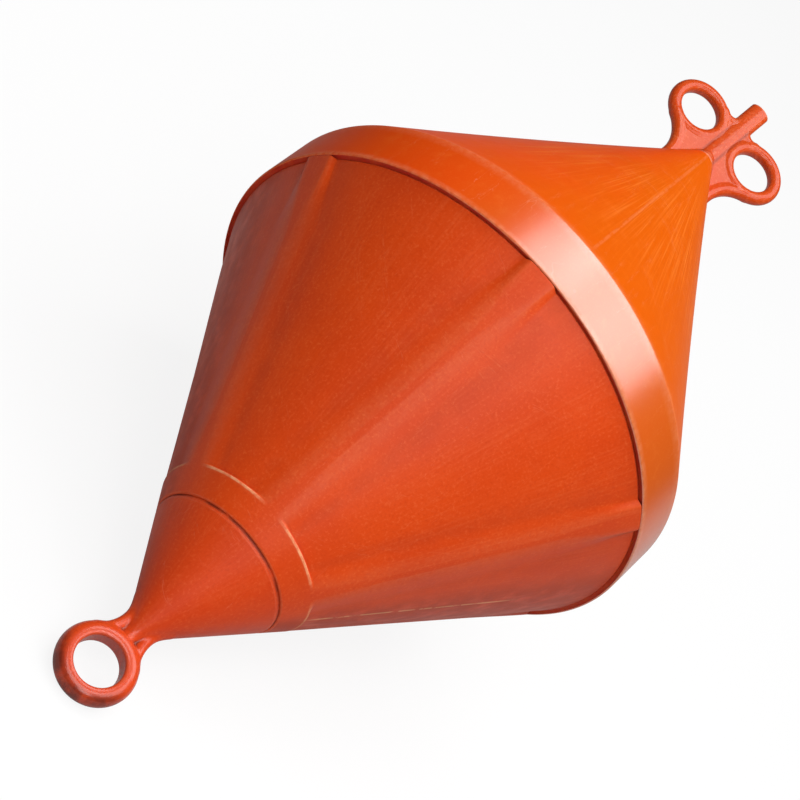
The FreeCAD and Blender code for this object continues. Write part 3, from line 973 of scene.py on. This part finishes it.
@dataclass(frozen=True)
class UpperShell:
    """The band and the upper cone, turned in one, with a narrow gap under the band's rim.

    The cone's side is hollow by sag at its middle. The traces are measured up from the rim and from
    the shoulder; the rim's, wear and a painted highlight, reaches rim_depth in, and the gap's darkening,
    a dark joint with painted shade, begins gap_edge in.
    """

    radius: float = 160.0
    band_width: float = 35.7
    band_draft: float = 0.4
    rim_round: float = 1.0
    lip: float = 1.05
    gap_depth: float = 0.6
    gap_reach: float = 6.0
    shoulder_round: float = 1.3
    top: float = 299.0
    tip_radius: float = 6.1
    tip_step: float = 1.5
    sag: float = 1.4
    columns: int = 540
    band_rows: tuple[float, ...] = (0.12, 0.25, 0.4, 0.55, 0.7, 0.82)
    side_rows: int = 90
    arc_steps: int = 7
    # wear on the band's lower edge, which is also its painted highlight
    rim_wear_and_highlight: Trace = Trace(0.8, 3.0, 0.6, 0.35)
    rim_depth: float = 1.5
    shoulder_wear: Trace = Trace(0.0, 1.6, 0.3, 0.25)
    gap_edge: float = 0.9
    # darkens the gap under the band's rim: a dark joint with painted shade
    gap_darkening: float = 0.8
    finish: MouldedPlastic = MouldedPlastic(
        name="upper_polyethylene",
        body=(0.86, 0.080, 0.005),
        light=(0.93, 0.26, 0.040),
        deep=(0.82, 0.068, 0.004),
        # painted light: the oranger look of the side that the key lamps light
        lit_side_tint=(0.70, 0.105, 0.001),
        wear_and_highlight=(0.90, 0.42, 0.22),
        # the gap under the rim: a dark joint with painted shade
        joint_and_shade=(0.70, 0.018, 0.030),
        roughness=0.36,
        gloss=0.02,
        coat=ClearCoat(1.0, 0.24, 2.1, top=35.5),
        parting=PartingLine(179.6, 36.0, 310.0, show=0.13),
        flow=FlowLines(0.45, 40.0, 150.0, end=288.0),
        grain=Grain(0.3, 1.2),
        peel=0.25,
        scuffs=0.35,
    )

    def side(self) -> tuple[np.ndarray, np.ndarray, float]:
        """The cone's side along its straight chord.

        Returns:
            Its lower end, its direction and its length.
        """
        start = np.array((self.radius - self.band_draft, self.band_width))
        run = np.array((self.tip_radius, self.top)) - start
        return start, run / np.linalg.norm(run), float(np.linalg.norm(run))

    def above_side(self, across: np.ndarray, z: np.ndarray) -> np.ndarray:
        """Distance of places above the cone's side.

        Args:
            across: Their distances from the axis.
            z: Their heights.

        Returns:
            The distances, less than 0 inside the cone.
        """
        start, way, length = self.side()
        share = ((across - start[0]) * way[0] + (z - start[1]) * way[1]) / length
        out = (across - start[0]) * way[1] - (z - start[1]) * way[0]
        return out + self.sag * 4 * share * (1 - share)

    def profile(self) -> np.ndarray:
        """The turned outline, from inside the gap to the cone's end.

        Returns:
            Across and up of each point.
        """
        start, way, length = self.side()
        inner = self.radius - self.lip
        corners = [
            (inner - self.gap_reach, self.gap_depth, 0.0),
            (inner, self.gap_depth, 0.0),
            (inner, 0.0, 0.0),
            (self.radius, 0.0, self.rim_round),
        ]
        for share in self.band_rows:
            corners.append((self.radius - self.band_draft * share, self.band_width * share, 0.0))
        corners.append((float(start[0]), float(start[1]), self.shoulder_round))
        normal = np.array((way[1], -way[0]))
        for share in np.linspace(0.02, 1.0, self.side_rows):
            point = start + way * (length * share) - normal * (self.sag * 4 * share * (1 - share))
            corners.append((float(point[0]), float(point[1]), 0.0))
        corners.append((self.tip_radius - self.tip_step, self.top, 0.0))
        return rounded(corners, self.arc_steps)

    def build(self, frame: BuoyFrame) -> bpy.types.Object:
        """Build the piece in place.

        Args:
            frame: Where the buoy lies.

        Returns:
            The finished object.
        """
        outline = self.profile()
        angles = np.arange(self.columns) * (2 * math.pi / self.columns)
        rows = np.empty((len(outline), self.columns, 3))
        rows[..., 0] = outline[:, None, 0] * np.cos(angles)
        rows[..., 1] = outline[:, None, 0] * np.sin(angles)
        rows[..., 2] = outline[:, None, 1]
        ends = np.array(((0.0, 0.0, self.gap_depth), (0.0, 0.0, self.top)))
        points = np.concatenate((rows.reshape(-1, 3), ends))
        height = points[:, 2]
        across = np.hypot(points[:, 0], points[:, 1])
        rim = self.rim_wear_and_highlight.mark(height) * (across > self.radius - self.rim_depth)
        shoulder = self.shoulder_wear.mark(height - self.band_width)
        # the gap under the rim: dark joint and painted shade
        gap = (across < self.radius - self.gap_edge) & (height < self.gap_depth + CLOSE)
        masks = {Mask.EDGE: np.maximum(rim, shoulder), Mask.VALLEY: gap * self.gap_darkening}
        skin = Skin(points, ring_faces(len(outline), self.columns), masks)
        return skin.into_object("upper_shell_moulding", frame, self.finish)


@dataclass(frozen=True)
class LowerShell:
    """The lower cone: six straight ribs, sunk panels between them and a full collar below.

    Heights are below 0. crest and foot are a rib's width at its top and beside its panels; soften
    narrows the one and widens the other where the rib is clear of the rim, and sharpen takes some of
    that back near the collar. The panels are sink deep, and deeper by sink_more near the rim. steps are
    the columns on half a crest, a flank and a panel. Traces along a rib are measured as columns()
    counts, and those along the step up from its lower or its upper end.
    """

    rim: float = 159.5
    apex: float = 256.5
    step: float = 166.0
    step_run: float = 1.6
    step_ease: float = 0.2
    seam: float = 181.0
    seam_round: float = 0.7
    seam_wall: float = 0.9
    seam_depth: float = 2.0
    rim_round: float = 0.45
    rib_gap: float = 0.15
    gap_depth: float = 0.5
    gap_wall: float = 0.4
    sink: float = 2.3
    sink_more: float = 0.7
    sink_more_over: Span = (-30.0, -3.0)
    ribs: int = 6
    steps: tuple[int, int, int] = (4, 12, 32)
    turn: float = -3.0
    crest: float = 18.0
    foot: float = 28.0
    soften: float = 13.0
    soften_over: Span = (-3.0, -45.0)
    sharpen: float = 0.3
    sharpen_over: Span = (-125.0, -160.0)
    flank: Span = (0.9, 2.1)
    crest_wear: Trace = Trace(1.1, 0.55, 0.1, 0.07)
    # painted highlight: the lit edge of the step, drawn in the worn colour
    step_highlight: Trace = Trace(-0.1, 1.2, 0.4, 1.2)
    # painted shade: a soft dark line along each rib's foot
    foot_shade: Trace = Trace(2.02, 0.35, 0.05, 0.12)
    # painted shade in the crease where a panel meets the step
    step_shade: Trace = Trace(0.3, 1.5, 0.2, 0.2)
    # painted shade: darker on the floor side and the flanks, not on the side that faces up
    underside_shade: float = 0.4
    underside_shade_over: Span = (-0.36, -0.1)
    seam_wear: float = 0.1
    rim_wear_and_highlight: float = 0.14
    # the gap's wall below the upper shell's lip: dark joint and painted shade
    gap_darkening: float = 0.5
    finish: MouldedPlastic = MouldedPlastic(
        name="lower_polyethylene",
        body=(0.77, 0.068, 0.005),
        light=(0.84, 0.14, 0.035),
        deep=(0.66, 0.048, 0.005),
        # wear, and the painted highlight on the step's edge
        wear_and_highlight=(1.0, 0.48, 0.24),
        # dark joints, and painted shade along the rib feet, above the step and on the floor side
        joint_and_shade=(0.20, 0.020, 0.012),
        roughness=0.42,
        gloss=0.21,
        parting=PartingLine(-93.5, -165.0, -45.0, show=1.0),
        flow=FlowLines(0.18, -220.0, -60.0),
        grain=Grain(1.3, 1.7),
        peel=0.3,
        scuffs=0.15,
    )

    def crest_radius(self, z: float) -> float:
        """Radius of the rib crests at a height."""
        return self.rim * (1 + z / self.apex)

    def columns(self) -> np.ndarray:
        """Places across one sector, from rib middle to rib middle.

        Returns:
            Numbers from 0 to 6: 0-1 half a crest, 1-2 a flank, 2-4 the panel, 4-5 a flank, 5-6 half a crest.
        """
        crest, flank, panel = (np.linspace(0, 1, count + 1)[:-1] for count in self.steps)
        return np.concatenate((crest, 1 + flank, 2 + 2 * panel, 4 + flank, 5 + crest))

    def rows(self) -> np.ndarray:
        """Heights of the rows from the seam up, dense at the step and at the rim.

        Returns:
            The heights.
        """
        under, over = -self.step, -self.step + self.step_run
        stretches = (
            (-self.seam + self.seam_round, under - 1.2, 12),
            (under - 1.0, over + 1.2, 26),
            (over + 1.6, -4.0, 60),
            (-3.6, -self.rib_gap - self.rim_round, 8),
        )
        return np.concatenate([np.linspace(*stretch) for stretch in stretches])

    def sector(self, z: float) -> np.ndarray:
        """Angles of the columns across one sector at a height.

        Args:
            z: The height.

        Returns:
            The angles from the rib's middle on, in radians.
        """
        radius = self.crest_radius(z)
        sharp = self.sharpen * float(smooth_step(*self.sharpen_over, z))
        soft = self.soften * float(smooth_step(*self.soften_over, z)) * (1 - sharp)
        crest = math.asin((self.crest - soft) / 2 / radius)
        foot = math.asin((self.foot + soft) / 2 / radius)
        whole = 2 * math.pi / self.ribs
        marks = np.array((0, crest, foot, whole / 2, whole - foot, whole - crest, whole))
        return np.interp(self.columns(), np.arange(7.0), marks)

    def row(self, z: float) -> Row:
        """One row all round, with its panels sunk above the step.

        Args:
            z: Its height.

        Returns:
            Its points, and their edge and valley masks.
        """
        beside = np.minimum(self.columns(), 6 - self.columns())
        fall = smooth_step(*self.flank, beside)
        under, over = -self.step - self.step_ease, -self.step + self.step_run + self.step_ease
        end = smooth_step(under, over, z)
        sink = self.sink + self.sink_more * float(smooth_step(*self.sink_more_over, z))
        across = self.crest_radius(z) - np.tile(fall * end * sink, self.ribs)
        starts = [index * 2 * math.pi / self.ribs + math.radians(self.turn) for index in range(self.ribs)]
        turn = np.concatenate([self.sector(z) + start for start in starts])
        points = np.stack((across * np.cos(turn), across * np.sin(turn), np.full_like(turn, z)), -1)
        # the step's edge takes a painted highlight
        edge = np.maximum(self.crest_wear.mark(beside) * end, self.step_highlight.mark(z + self.step) * fall)
        # painted shade: in the crease above the step, and along the rib feet below
        pit = self.step_shade.mark(z + self.step - self.step_run) * fall
        valley = np.maximum(self.foot_shade.mark(beside) * end, pit)
        # painted shade: darker towards the floor side
        underside_shade = smooth_step(*self.underside_shade_over, np.cos(turn)) * self.underside_shade
        return points, np.tile(edge, self.ribs), np.maximum(np.tile(valley, self.ribs), underside_shade)

    def build(self, frame: BuoyFrame) -> bpy.types.Object:
        """Build the piece in place.

        Args:
            frame: Where the buoy lies.

        Returns:
            The finished object.
        """
        rows = self.closed([self.row(float(z)) for z in self.rows()])
        ends = np.array(((0.0, 0.0, -self.seam + self.seam_depth), (0.0, 0.0, self.gap_depth)))
        points = np.concatenate((*[row[0] for row in rows], ends))
        masks = {
            Mask.EDGE: np.concatenate((*[row[1] for row in rows], (0.0, 0.0))),
            Mask.VALLEY: np.concatenate((*[row[2] for row in rows], (0.0, 0.0))),
        }
        skin = Skin(points, ring_faces(len(rows), len(rows[0][0])), masks)
        return skin.into_object("lower_shell_moulding", frame, self.finish)

    def closed(self, rows: list[Row]) -> list[Row]:
        """Add the rounded edges at the rim and at the seam, and the parts that go in behind them.

        Args:
            rows: The rows from the seam up, each with its points and its two masks.

        Returns:
            The rows with the further ones below and above.
        """
        first, last = rows[0][0], rows[-1][0]
        even = np.ones(len(last))

        def drawn(points: np.ndarray, inset: float, z: float, edge: float, valley: float) -> Row:
            """Copy a row nearer to the axis and to another height, with even masks."""
            across = np.hypot(points[:, 0], points[:, 1])
            copy = points * ((across - inset) / across)[:, None]
            copy[:, 2] = z
            return copy, even * edge, even * valley

        seam = []
        for turn in np.linspace(90, 0, 6)[:-1]:
            angle = math.radians(turn)
            z = -self.seam + self.seam_round * (1 - math.sin(angle))
            inset = self.seam_round * (1 - math.cos(angle)) + self.rim / self.apex * (first[0, 2] - z)
            seam.append(drawn(first, inset, z, self.seam_wear, 0.0))
        heights = (-self.seam + self.seam_depth, -self.seam)
        inward = [drawn(seam[0][0], self.seam_wall, z, 0.0, 1.0) for z in heights]
        rim = []
        for turn in np.linspace(0, 90, 5)[1:]:
            angle = math.radians(turn)
            z = -self.rib_gap - self.rim_round * (1 - math.sin(angle))
            rim.append(drawn(last, self.rim_round * (1 - math.cos(angle)), z, self.rim_wear_and_highlight, 0.0))
        wall = self.rim - self.sink - self.sink_more - self.gap_wall
        across = np.hypot(last[:, 0], last[:, 1])
        # the gap's wall below the upper shell's lip: dark joint and painted shade
        gap = [drawn(last, across - wall, z, 0.0, self.gap_darkening) for z in (-self.rib_gap, self.gap_depth)]
        return inward + seam + rows + rim + gap


@dataclass(frozen=True)
class EyeCap:
    """The pointed end of the lower cone with the mooring eye, its web, spine and two beads.

    Painted shade lies on the outside of the ring, by distance from the eye's middle and by how far below
    it, and a little of it on the wall of the hole.
    """

    rim: float = 159.5
    apex: float = 256.5
    seam: float = 181.0
    groove: float = 1.6
    groove_depth: float = 1.2
    neck_up: float = 4.0
    neck_down: float = 1.8
    eye_depth: float = 276.5
    eye_ring: float = 17.4
    eye_bar: float = 6.6
    eye_hole: float = 14.6
    flare_round: float = 22.5
    flare_bar: float = 3.4
    web: float = 3.4
    web_past_bead: float = 1.0
    web_rise: float = 14.0
    spine: float = 3.8
    spine_top: float = 236.0
    base_round: float = 1.2
    web_fillet: float = 1.6
    spine_fillet: float = 2.0
    eye_fillet: float = 1.8
    cone_fillet: float = 2.6
    hole_round: float = 1.3
    cell: float = 0.62
    edge_wear: float = 0.14
    gap_over: Span = (-0.2, 0.5)
    gap_off_neck: Span = (1.0, 0.1)
    # painted shade on the ring's lower outside and on the hole's wall
    shade_from_eye: Span = (17.2, 21.8)
    shade_below: Span = (-4.0, 12.0)
    hole_shade: float = 0.2
    hole_shade_from_eye: Span = (16.0, 15.0)
    finish: MouldedPlastic = MouldedPlastic(
        name="cap_polyethylene",
        body=(0.75, 0.062, 0.006),
        light=(0.82, 0.15, 0.045),
        deep=(0.60, 0.040, 0.006),
        wear_and_highlight=(0.84, 0.34, 0.22),
        # the seam's dark joint, and painted shade on the ring, in the hole and in creases
        joint_and_shade=(0.05, 0.008, 0.005),
        roughness=0.42,
        gloss=0.2,
        coat=ClearCoat(0.75, 0.2, top=-246.0, blend=18.0),
        flow=FlowLines(0.2, -400.0, -200.0),
        grain=Grain(1.0, 1.8),
        peel=0.25,
        scuffs=0.3,
    )

    def seam_radius(self) -> float:
        """Radius of the cone at the seam."""
        return self.rim * (1 - self.seam / self.apex)

    def flare(self) -> ArcBar:
        """The bead that edges the hollow between eye and cap, tangent to the cone and to the eye.

        Returns:
            The bead.
        """
        slope = math.atan(self.rim / self.apex)
        outer = self.eye_ring + self.eye_bar
        beyond = (self.eye_depth - self.apex) * math.sin(slope)
        far = math.sqrt((outer + self.flare_round) ** 2 - (self.flare_round - beyond) ** 2)
        foot = far - (self.eye_depth - self.apex) * math.cos(slope)
        y = foot * math.sin(slope) + self.flare_round * math.cos(slope)
        z = foot * math.cos(slope) - self.flare_round * math.sin(slope) - self.apex
        end = 2 * math.pi + math.atan2(-self.eye_depth - z, -y)
        return ArcBar(y, z, self.flare_round + self.flare_bar, self.flare_bar, math.pi - slope, end)

    def distance(self, points: np.ndarray) -> np.ndarray:
        """Distance of places to the cap's surface.

        Args:
            points: The places.

        Returns:
            The distances, less than 0 inside.
        """
        x, y, z = points.T
        slope = math.atan(self.rim / self.apex)
        across = np.hypot(x, y)
        side = (across - self.rim * (1 + z / self.apex)) * math.cos(slope)
        cone = shared(side, z + self.seam + self.groove, self.base_round)
        neck = np.maximum(z + self.seam - self.neck_up, -z - self.seam - self.neck_down)
        neck = np.maximum(across - self.seam_radius() + self.groove_depth, neck)
        body = np.minimum(cone, neck)
        from_eye = np.hypot(y, z + self.eye_depth)
        eye = np.hypot(from_eye - self.eye_ring, x) - self.eye_bar
        bar = self.flare()
        reach = bar.y - bar.bend * math.cos(slope) + self.web_past_bead
        web = np.maximum.reduce((
            np.abs(x) - self.web / 2,
            bar.bend - np.hypot(np.abs(y) - bar.y, z - bar.z),
            self.eye_ring - from_eye,
            np.abs(y) - reach,
            z - bar.z - self.web_rise,
            -z - self.eye_depth,
        ))
        spine = np.maximum(z + self.spine_top, -z - self.eye_depth + self.eye_ring)
        spine = np.maximum(across - self.spine, spine)
        plate = joined(bar.distance(x, y, z), web, self.web_fillet)
        plate = joined(joined(plate, spine, self.spine_fillet), eye, self.eye_fillet)
        return shared(joined(plate, body, self.cone_fillet), self.eye_hole - from_eye, self.hole_round)

    def build(self, frame: BuoyFrame) -> bpy.types.Object:
        """Build the piece in place.

        Args:
            frame: Where the buoy lies.

        Returns:
            The finished object.
        """
        reach = self.seam_radius() + ROOM
        low = (-reach, -reach, -self.eye_depth - self.eye_ring - self.eye_bar - ROOM)
        skin = Mould(self.distance, low, (reach, reach, -self.seam + self.neck_up + ROOM), self.cell).skin()
        height, beside = skin.points[:, 2], skin.points[:, 1]
        off_neck = np.hypot(skin.points[:, 0], beside) - self.seam_radius() + self.groove_depth
        gap = smooth_step(*self.gap_over, height + self.seam + self.groove)
        gap = gap * smooth_step(*self.gap_off_neck, off_neck)
        below = -self.eye_depth - height
        from_eye = np.hypot(below, beside)
        # painted shade on the ring's lower outside and on the hole's wall
        ring = smooth_step(*self.shade_from_eye, from_eye) * smooth_step(*self.shade_below, below)
        hole = smooth_step(*self.hole_shade_from_eye, from_eye) * self.hole_shade
        skin.masks[Mask.EDGE] = skin.masks[Mask.EDGE] * self.edge_wear
        skin.masks[Mask.VALLEY] = np.maximum.reduce((skin.masks[Mask.VALLEY], ring, hole, gap))
        return skin.into_object("bottom_eye_cap_moulding", frame, self.finish)


@dataclass(frozen=True)
class TopLug:
    """The plate with two lifting eyes and the oval spine, growing out of the upper cone.

    The plate goes skirt deep into the cone. The fillet at its root reaches no further out than flare of
    its radius. Painted shade lies along the spine's sides and thins out at shade_top.
    """

    shell: UpperShell = UpperShell()
    ear_height: float = 322.2
    ear_spread: float = 27.0
    ear_ring: float = 18.7
    ear_bar: float = 4.6
    ear_hole: float = 14.4
    waist_round: float = 28.0
    waist_bar: float = 4.2
    crotch_round: float = 4.0
    crotch_bar: float = 3.6
    web: float = 7.0
    web_root: float = 250.0
    spine_width: float = 7.5
    spine_depth: float = 4.65
    spine_top: float = 365.5
    foot_tip: float = 2.2
    foot_overlap: float = 4.0
    fillet: float = 1.0
    flare: float = 0.85
    skirt: float = 1.2
    skirt_round: float = 0.9
    bead_fillet: float = 0.8
    web_fillet: float = 1.0
    spine_round: float = 1.2
    spine_fillet: float = 0.4
    foot_fillet: float = 0.8
    hole_round: float = 1.0
    half_depth: float = 14.0
    box_low: float = 246.0
    cell: float = 0.5
    edge_wear: float = 0.7
    # painted shade: in the creases, and a dark line along each side of the spine
    valley_shade: float = 0.35
    spine_shade: Trace = Trace(5.6, 1.7, 0.3, 0.75)
    shade_top: Span = (348.0, 340.0)
    finish: MouldedPlastic = MouldedPlastic(
        name="lug_polyethylene",
        body=(0.64, 0.070, 0.006),
        # grain and mottle tint, pinkish so that it also serves as a painted sheen on the flat web
        light=(0.88, 0.26, 0.110),
        deep=(0.60, 0.046, 0.004),
        wear_and_highlight=(0.92, 0.42, 0.26),
        # painted shade in the creases and along the spine
        joint_and_shade=(0.24, 0.024, 0.009),
        roughness=0.42,
        gloss=0.1,
        coat=ClearCoat(0.44, 0.1),
        flow=FlowLines(0.08, 200.0, 300.0),
        grain=Grain(1.0, 1.9),
        peel=0.2,
        scuffs=0.25,
    )

    def lean(self) -> float:
        """Angle of the upper cone's side to the axis."""
        _, way, _ = self.shell.side()
        return math.atan2(-way[0], way[1])

    def waist(self) -> ArcBar:
        """The bead that edges the hollow between ear and cone, tangent to both.

        Returns:
            The bead.
        """
        lean = self.lean()
        outer = self.ear_ring + self.ear_bar
        along = (self.ear_spread - self.shell.tip_radius) * math.cos(lean)
        off = along + (self.ear_height - self.shell.top) * math.sin(lean)
        far = math.sqrt((outer + self.waist_round) ** 2 - (off - self.waist_round) ** 2)
        y = self.ear_spread - (off - self.waist_round) * math.cos(lean) + far * math.sin(lean)
        z = self.ear_height - (off - self.waist_round) * math.sin(lean) - far * math.cos(lean)
        start = math.atan2(self.ear_height - z, self.ear_spread - y)
        bend = self.waist_round + self.waist_bar
        return ArcBar(y, z, bend, self.ear_bar, start, math.pi + lean, self.waist_bar)

    def crotch(self) -> ArcBar:
        """The bead that edges the hollow between ear and spine.

        Returns:
            The bead.
        """
        y = self.spine_width + self.crotch_round
        outer = self.ear_ring + self.ear_bar + self.crotch_round
        z = self.ear_height + math.sqrt(outer**2 - (self.ear_spread - y) ** 2)
        end = 2 * math.pi + math.atan2(self.ear_height - z, self.ear_spread - y)
        return ArcBar(y, z, self.crotch_round + self.crotch_bar, self.crotch_bar, math.pi, end, self.ear_bar)

    def web_distance(self, x: np.ndarray, y: np.ndarray, z: np.ndarray) -> np.ndarray:
        """Distance of places to the flat web that fills the plate between its beads.

        Args:
            x: The places' distances from the plate's plane.
            y: Their places along the plate.
            z: Their heights.

        Returns:
            The distances, less than 0 inside.
        """
        waist, crotch = self.waist(), self.crotch()
        beside = np.abs(y)
        corners = [
            (0.0, self.web_root), (waist.y, waist.z), (self.ear_spread, self.ear_height),
            (crotch.y, crotch.z), (0.0, crotch.z),
        ]
        web = np.abs(x) - self.web / 2
        for (y0, z0), (y1, z1) in zip(corners, corners[1:]):
            run = math.hypot(y1 - y0, z1 - z0)
            web = np.maximum(web, ((beside - y0) * (z1 - z0) - (z - z0) * (y1 - y0)) / run)
        for bar in (waist, crotch):
            web = np.maximum(web, bar.bend - np.hypot(beside - bar.y, z - bar.z))
        return np.maximum(web, self.ear_ring - np.hypot(beside - self.ear_spread, z - self.ear_height))

    def spine_distance(self, x: np.ndarray, y: np.ndarray, z: np.ndarray) -> np.ndarray:
        """Distance of places to the oval spine.

        Args:
            x: The places' distances from the plate's plane.
            y: Their places along the plate.
            z: Their heights.

        Returns:
            The distances, less than 0 inside.
        """
        once = np.hypot(x / self.spine_depth, y / self.spine_width)
        twice = np.hypot(x / self.spine_depth**2, y / self.spine_width**2)
        spine = (once - 1) * once / np.maximum(twice, TINY)
        return shared(spine, z - self.spine_top, self.spine_round)

    def foot_distance(self, across: np.ndarray, z: np.ndarray) -> np.ndarray:
        """Distance of places to the foot, which carries the cone's point on to the spine.

        Args:
            across: The places' distances from the axis.
            z: Their heights.

        Returns:
            The distances, less than 0 inside.
        """
        lean = self.lean()
        foot = (across - self.shell.tip_radius + (z - self.shell.top) * math.tan(lean)) * math.cos(lean)
        foot = np.maximum(foot, z - self.shell.top - (self.shell.tip_radius - self.foot_tip) / math.tan(lean))
        return np.maximum(foot, self.shell.top - self.foot_overlap - z)

    def distance(self, points: np.ndarray) -> np.ndarray:
        """Distance of places to the lug's surface.

        Args:
            points: The places.

        Returns:
            The distances, less than 0 inside.
        """
        x, y, z = points.T
        across = np.hypot(x, y)
        from_ear = np.hypot(np.abs(y) - self.ear_spread, z - self.ear_height)
        ears = np.hypot(from_ear - self.ear_ring, x) - self.ear_bar
        beads = np.minimum(self.waist().distance(x, y, z), self.crotch().distance(x, y, z))
        plate = joined(ears, beads, self.bead_fillet)
        plate = joined(plate, self.web_distance(x, y, z), self.web_fillet)
        plate = joined(plate, self.spine_distance(x, y, z), self.spine_fillet)
        plate = joined(plate, self.foot_distance(across, z), self.foot_fillet)
        cone = self.shell.above_side(across, z)
        rooted = np.maximum(joined(plate, cone, self.fillet), plate - self.fillet * self.flare)
        whole = shared(rooted, -cone - self.skirt, self.skirt_round)
        return shared(whole, self.ear_hole - from_ear, self.hole_round)

    def build(self, frame: BuoyFrame) -> bpy.types.Object:
        """Build the piece in place.

        Args:
            frame: Where the buoy lies.

        Returns:
            The finished object.
        """
        wide = self.ear_spread + self.ear_ring + self.ear_bar + ROOM
        low = (-self.half_depth, -wide, self.box_low)
        high = (self.half_depth, wide, self.spine_top + ROOM)
        skin = Mould(self.distance, low, high, self.cell).skin()
        # painted shade along the spine's sides
        darkening = self.spine_shade.mark(np.abs(skin.points[:, 1]))
        darkening = darkening * smooth_step(*self.shade_top, skin.points[:, 2])
        skin.masks[Mask.EDGE] = skin.masks[Mask.EDGE] * self.edge_wear
        skin.masks[Mask.VALLEY] = np.maximum(darkening, skin.masks[Mask.VALLEY] * self.valley_shade)
        return skin.into_object("top_eye_lug_moulding", frame, self.finish)


# --------------------------------------------------------------------------- studio
@dataclass(frozen=True)
class Softbox:
    """A square lamp that faces the buoy from a direction."""

    name: str
    azimuth: float
    elevation: float
    distance: float
    size: float
    power: float

    def build(self) -> bpy.types.Object:
        """Hang the lamp.

        Returns:
            The lamp.
        """
        a, e = math.radians(self.azimuth), math.radians(self.elevation)
        way = Vector((math.cos(e) * math.cos(a), math.cos(e) * math.sin(a), math.sin(e)))
        lamp = bpy.data.lights.new(self.name, "AREA")
        lamp.shape = "SQUARE"
        lamp.size = self.size
        lamp.energy = self.power
        made = bpy.data.objects.new(self.name, lamp)
        made.location = way * self.distance + Vector(BUOY_MIDDLE)
        made.rotation_mode = "QUATERNION"
        made.rotation_quaternion = way.to_track_quat("Z", "Y")
        bpy.context.scene.collection.objects.link(made)
        return made


@dataclass(frozen=True)
class Studio:
    """Pale floor, soft light and the camera.

    eye is the camera's place about the buoy's axis, in mm, and right and up are its own ways there.
    """

    floor_half: float = 6.0
    floor: PaleFloor = PaleFloor()
    ambient: float = 0.05
    softboxes: tuple[Softbox, ...] = (
        Softbox("overhead_softbox", -120.0, 58.0, 2.0, 1.2, 13.0),
        Softbox("window_softbox", -40.0, 62.0, 2.0, 1.3, 19.0),
        Softbox("front_softbox", 180.0, 55.0, 2.2, 1.2, 18.0),
        Softbox("low_softbox", -160.0, 32.0, 2.2, 0.7, 8.0),
        Softbox("top_softbox", 45.0, 80.0, 2.2, 0.85, 10.0),
    )
    eye: tuple[float, float, float] = (-1224.167, 0.0, -873.809)
    right: tuple[float, float, float] = (-0.446275, -0.638785, 0.626732)
    up: tuple[float, float, float] = (-0.362518, 0.769349, 0.526007)
    lens: float = 113.91
    shift: tuple[float, float] = (-0.025, 0.025)

    def build(self, frame: BuoyFrame) -> None:
        """Set the studio up round the buoy.

        Args:
            frame: Where the buoy lies.
        """
        half = self.floor_half
        corners = [(-half, -half, 0.0), (half, -half, 0.0), (half, half, 0.0), (-half, half, 0.0)]
        mesh = bpy.data.meshes.new("floor")
        mesh.from_pydata(corners, [], [(0, 1, 2, 3)])
        mesh.materials.append(self.floor.material())
        floor = bpy.data.objects.new("floor", mesh)
        bpy.context.scene.collection.objects.link(floor)
        floor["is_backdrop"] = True
        for softbox in self.softboxes:
            softbox.build()
        bpy.context.scene.world = self.world()
        self.camera(frame)
        bpy.context.scene.view_settings.view_transform = "Standard"

    def world(self) -> bpy.types.World:
        """Light the surroundings evenly; the camera sees them white.

        Returns:
            The world.
        """
        graph = Graph(bpy.data.worlds.new("studio_surroundings"))
        lit = graph.node("ShaderNodeBackground", {}, {"Color": WHITE, "Strength": self.ambient})
        shown = graph.node("ShaderNodeBackground", {}, {"Color": WHITE, "Strength": 1.0})
        return graph.surface(graph.shaders(graph.ray("Is Camera Ray"), lit, shown))

    def camera(self, frame: BuoyFrame) -> None:
        """Set up the camera.

        Args:
            frame: Where the buoy lies; the camera's place is given about its axis.
        """
        right, up = frame.turned(np.array((self.right, self.up)))
        back = np.cross(right, up)
        data = bpy.data.cameras.new("studio_camera")
        data.sensor_width = 36.0
        data.lens = self.lens
        data.shift_x, data.shift_y = self.shift
        camera = bpy.data.objects.new("studio_camera", data)
        eye = frame.places(np.array(self.eye))
        rows = [(*row, place) for row, place in zip(np.array((right, up, back)).T, eye)]
        camera.matrix_world = Matrix((*rows, (0.0, 0.0, 0.0, 1.0)))
        bpy.context.scene.collection.objects.link(camera)
        bpy.context.scene.camera = camera


def corners() -> list[list[float]]:
    """The shown object's lowest and highest corner as plain lists."""
    return [list(corner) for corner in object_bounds()]


def main() -> None:
    """Build the buoy's pieces and its studio."""
    logging.basicConfig(level=logging.INFO, format="%(message)s")
    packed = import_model()
    frame = BuoyFrame.from_record(packed["record"])
    pieces = [
        (UpperShell(), "upper_shell", Slot.UPPER),
        (LowerShell(), "lower_shell", Slot.LOWER),
        (EyeCap(), "bottom_eye_cap", Slot.CAP),
        (TopLug(), "top_eye_lug", Slot.LUG),
    ]
    for piece, node, slot in pieces:
        made = piece.build(frame)
        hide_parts(node)
        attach(made, "root")
        log.info("%s: %d points, %d faces", made.name, len(made.data.vertices), len(made.data.polygons))
    Studio().build(frame)


if __name__ == "__main__":
    main()
